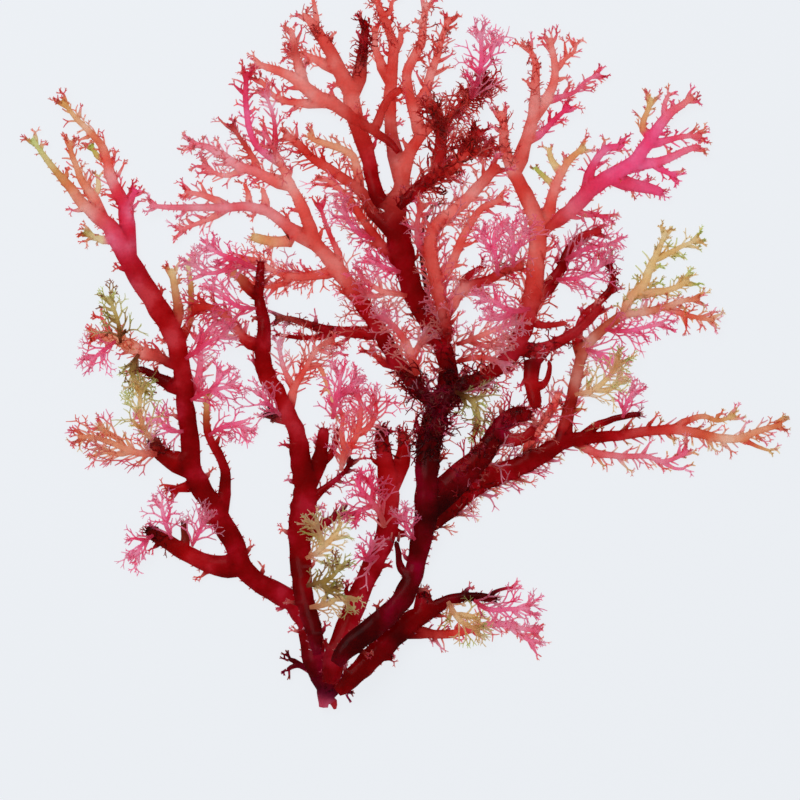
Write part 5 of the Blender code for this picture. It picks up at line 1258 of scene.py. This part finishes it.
def tissue(name, gloss, mottle):
    """Wet seaweed: the tint of blades and shoots, with painted light on the shoots and painted shade on the
    edges, in deeper and paler patches, with the light below showing through.
    """
    made = bpy.data.materials.new(name)
    made.use_nodes = True
    nodes, links = made.node_tree.nodes, made.node_tree.links
    shader = nodes["Principled BSDF"]

    def feed(socket, value):
        if isinstance(value, bpy.types.NodeSocket):
            links.new(value, socket)
        else:
            socket.default_value = value

    def noise(scale, detail):
        node = nodes.new("ShaderNodeTexNoise")
        node.inputs["Scale"].default_value = scale
        node.inputs["Detail"].default_value = detail
        links.new(place.outputs["Object"], node.inputs["Vector"])
        return node.outputs["Fac"]

    def between(value, low, high, dark, light):
        node = nodes.new("ShaderNodeMapRange")
        for socket, number in zip(node.inputs, (value, low, high, dark, light)):
            feed(socket, number)
        return node.outputs["Result"]

    def times(first, second):
        node = nodes.new("ShaderNodeMath")
        node.operation = "MULTIPLY"
        feed(node.inputs[0], first)
        feed(node.inputs[1], second)
        return node.outputs[0]

    place = nodes.new("ShaderNodeTexCoord")
    tint = nodes.new("ShaderNodeAttribute")
    tint.attribute_name = "tint"
    core = nodes.new("ShaderNodeAttribute")
    core.attribute_name = "core"
    patches = between(noise(*PATCHES), *PATCH_RANGE, 1 + mottle, 1 - PALE_PATCH * mottle)
    depth = nodes.new("ShaderNodeGamma")
    links.new(tint.outputs["Color"], depth.inputs["Color"])
    links.new(patches, depth.inputs["Gamma"])
    grain = between(noise(*GRAIN), *GRAIN_RANGE, *GRAIN_SHADES)
    # painted shade: edges darker than the middle
    middle = between(core.outputs["Fac"], 0.0, 1.0, EDGE_SHADE, 1.0)
    shade = nodes.new("ShaderNodeVectorMath")
    shade.operation = "SCALE"
    links.new(depth.outputs[0], shade.inputs[0])
    links.new(times(grain, middle), shade.inputs["Scale"])
    links.new(shade.outputs[0], shader.inputs["Base Color"])
    shader.inputs["Roughness"].default_value = gloss
    shader.inputs["Coat Weight"].default_value = 0.15
    shader.inputs["Coat Roughness"].default_value = 0.12
    shader.inputs["Specular IOR Level"].default_value = 0.4
    bump = nodes.new("ShaderNodeBump")
    bump.inputs["Strength"].default_value = 0.3
    bump.inputs["Distance"].default_value = 0.0003
    links.new(noise(*WRINKLES), bump.inputs["Height"])
    links.new(bump.outputs["Normal"], shader.inputs["Normal"])
    paler = nodes.new("ShaderNodeGamma")
    paler.inputs["Gamma"].default_value = THROUGH_PALER
    links.new(shade.outputs[0], paler.inputs["Color"])
    through = nodes.new("ShaderNodeBsdfTranslucent")
    links.new(paler.outputs[0], through.inputs["Color"])
    both = nodes.new("ShaderNodeMixShader")
    both.inputs[0].default_value = THROUGH
    links.new(shader.outputs[0], both.inputs[1])
    links.new(through.outputs[0], both.inputs[2])
    links.new(both.outputs[0], nodes["Material Output"].inputs["Surface"])
    return made


def put(name, skin, look):
    """The piece made of a skin, with its tints and cores as attributes for the tissue."""
    mesh = bpy.data.meshes.new(name)
    mesh.from_pydata([tuple(MM * v for v in vertex) for vertex in skin.vertices], [], skin.faces)
    tint = mesh.color_attributes.new("tint", "FLOAT_COLOR", "POINT")
    colours = np.ones((len(skin.vertices), 4), np.float32)
    colours[:, :3] = np.array(skin.colours)
    tint.data.foreach_set("color", colours.ravel())
    core = mesh.attributes.new("core", "FLOAT", "POINT")
    core.data.foreach_set("value", np.array(skin.cores, np.float32))
    mesh.polygons.foreach_set("use_smooth", [k < skin.smooth for k in range(len(mesh.polygons))])
    mesh.materials.append(look)
    piece = bpy.data.objects.new("fine_" + name, mesh)
    bpy.context.scene.collection.objects.link(piece)
    return piece


def stage():
    """A pale floor that glows a little, like white paper under shallow water, soft light and the camera."""
    bpy.ops.mesh.primitive_plane_add(size=FLOOR_SIZE, location=(*VIEW_CENTRE, FLOOR_TOP))
    floor = bpy.context.object
    floor.name = "floor"
    paint = bpy.data.materials.new("floor_paint")
    paint.use_nodes = True
    shader = paint.node_tree.nodes["Principled BSDF"]
    shader.inputs["Base Color"].default_value = FLOOR_COLOUR
    shader.inputs["Roughness"].default_value = 0.9
    shader.inputs["Specular IOR Level"].default_value = 0.1
    shader.inputs["Emission Color"].default_value = FLOOR_GLOW
    shader.inputs["Emission Strength"].default_value = 0.84
    floor.data.materials.append(paint)
    world = bpy.data.worlds.new("studio")
    world.use_nodes = True
    sky = world.node_tree.nodes["Background"]
    sky.inputs["Color"].default_value = SKY
    sky.inputs["Strength"].default_value = SKY_STRENGTH
    bpy.context.scene.world = world
    light = bpy.data.lights.new("softbox", "AREA")
    light.energy = 3.0
    light.size = 0.5
    lamp = bpy.data.objects.new("softbox", light)
    lamp.location = LAMP_PLACE
    lamp.rotation_euler = Vector(FROM_PLANT_TO_LAMP).to_track_quat("Z", "Y").to_euler()
    bpy.context.scene.collection.objects.link(lamp)
    lens = bpy.data.cameras.new("camera")
    lens.lens = 100
    lens.sensor_width = 36
    camera = bpy.data.objects.new("camera", lens)
    camera.location = (*VIEW_CENTRE, VIEW_WIDTH * lens.lens / lens.sensor_width)
    bpy.context.scene.collection.objects.link(camera)
    bpy.context.scene.camera = camera
    bpy.context.scene.view_settings.view_transform = "Standard"


def main():
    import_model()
    looks = {slot: tissue("wet_" + slot, gloss, mottle) for slot, (gloss, mottle) in LOOKS.items()}
    pile = Pile()
    for name, slot, specs in read_nodes(NODE_TABLE):
        piece = put(name, fine_frond(name, specs, pile), looks[slot])
        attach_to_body(piece, "root")
        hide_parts(name)
    stage()


main()
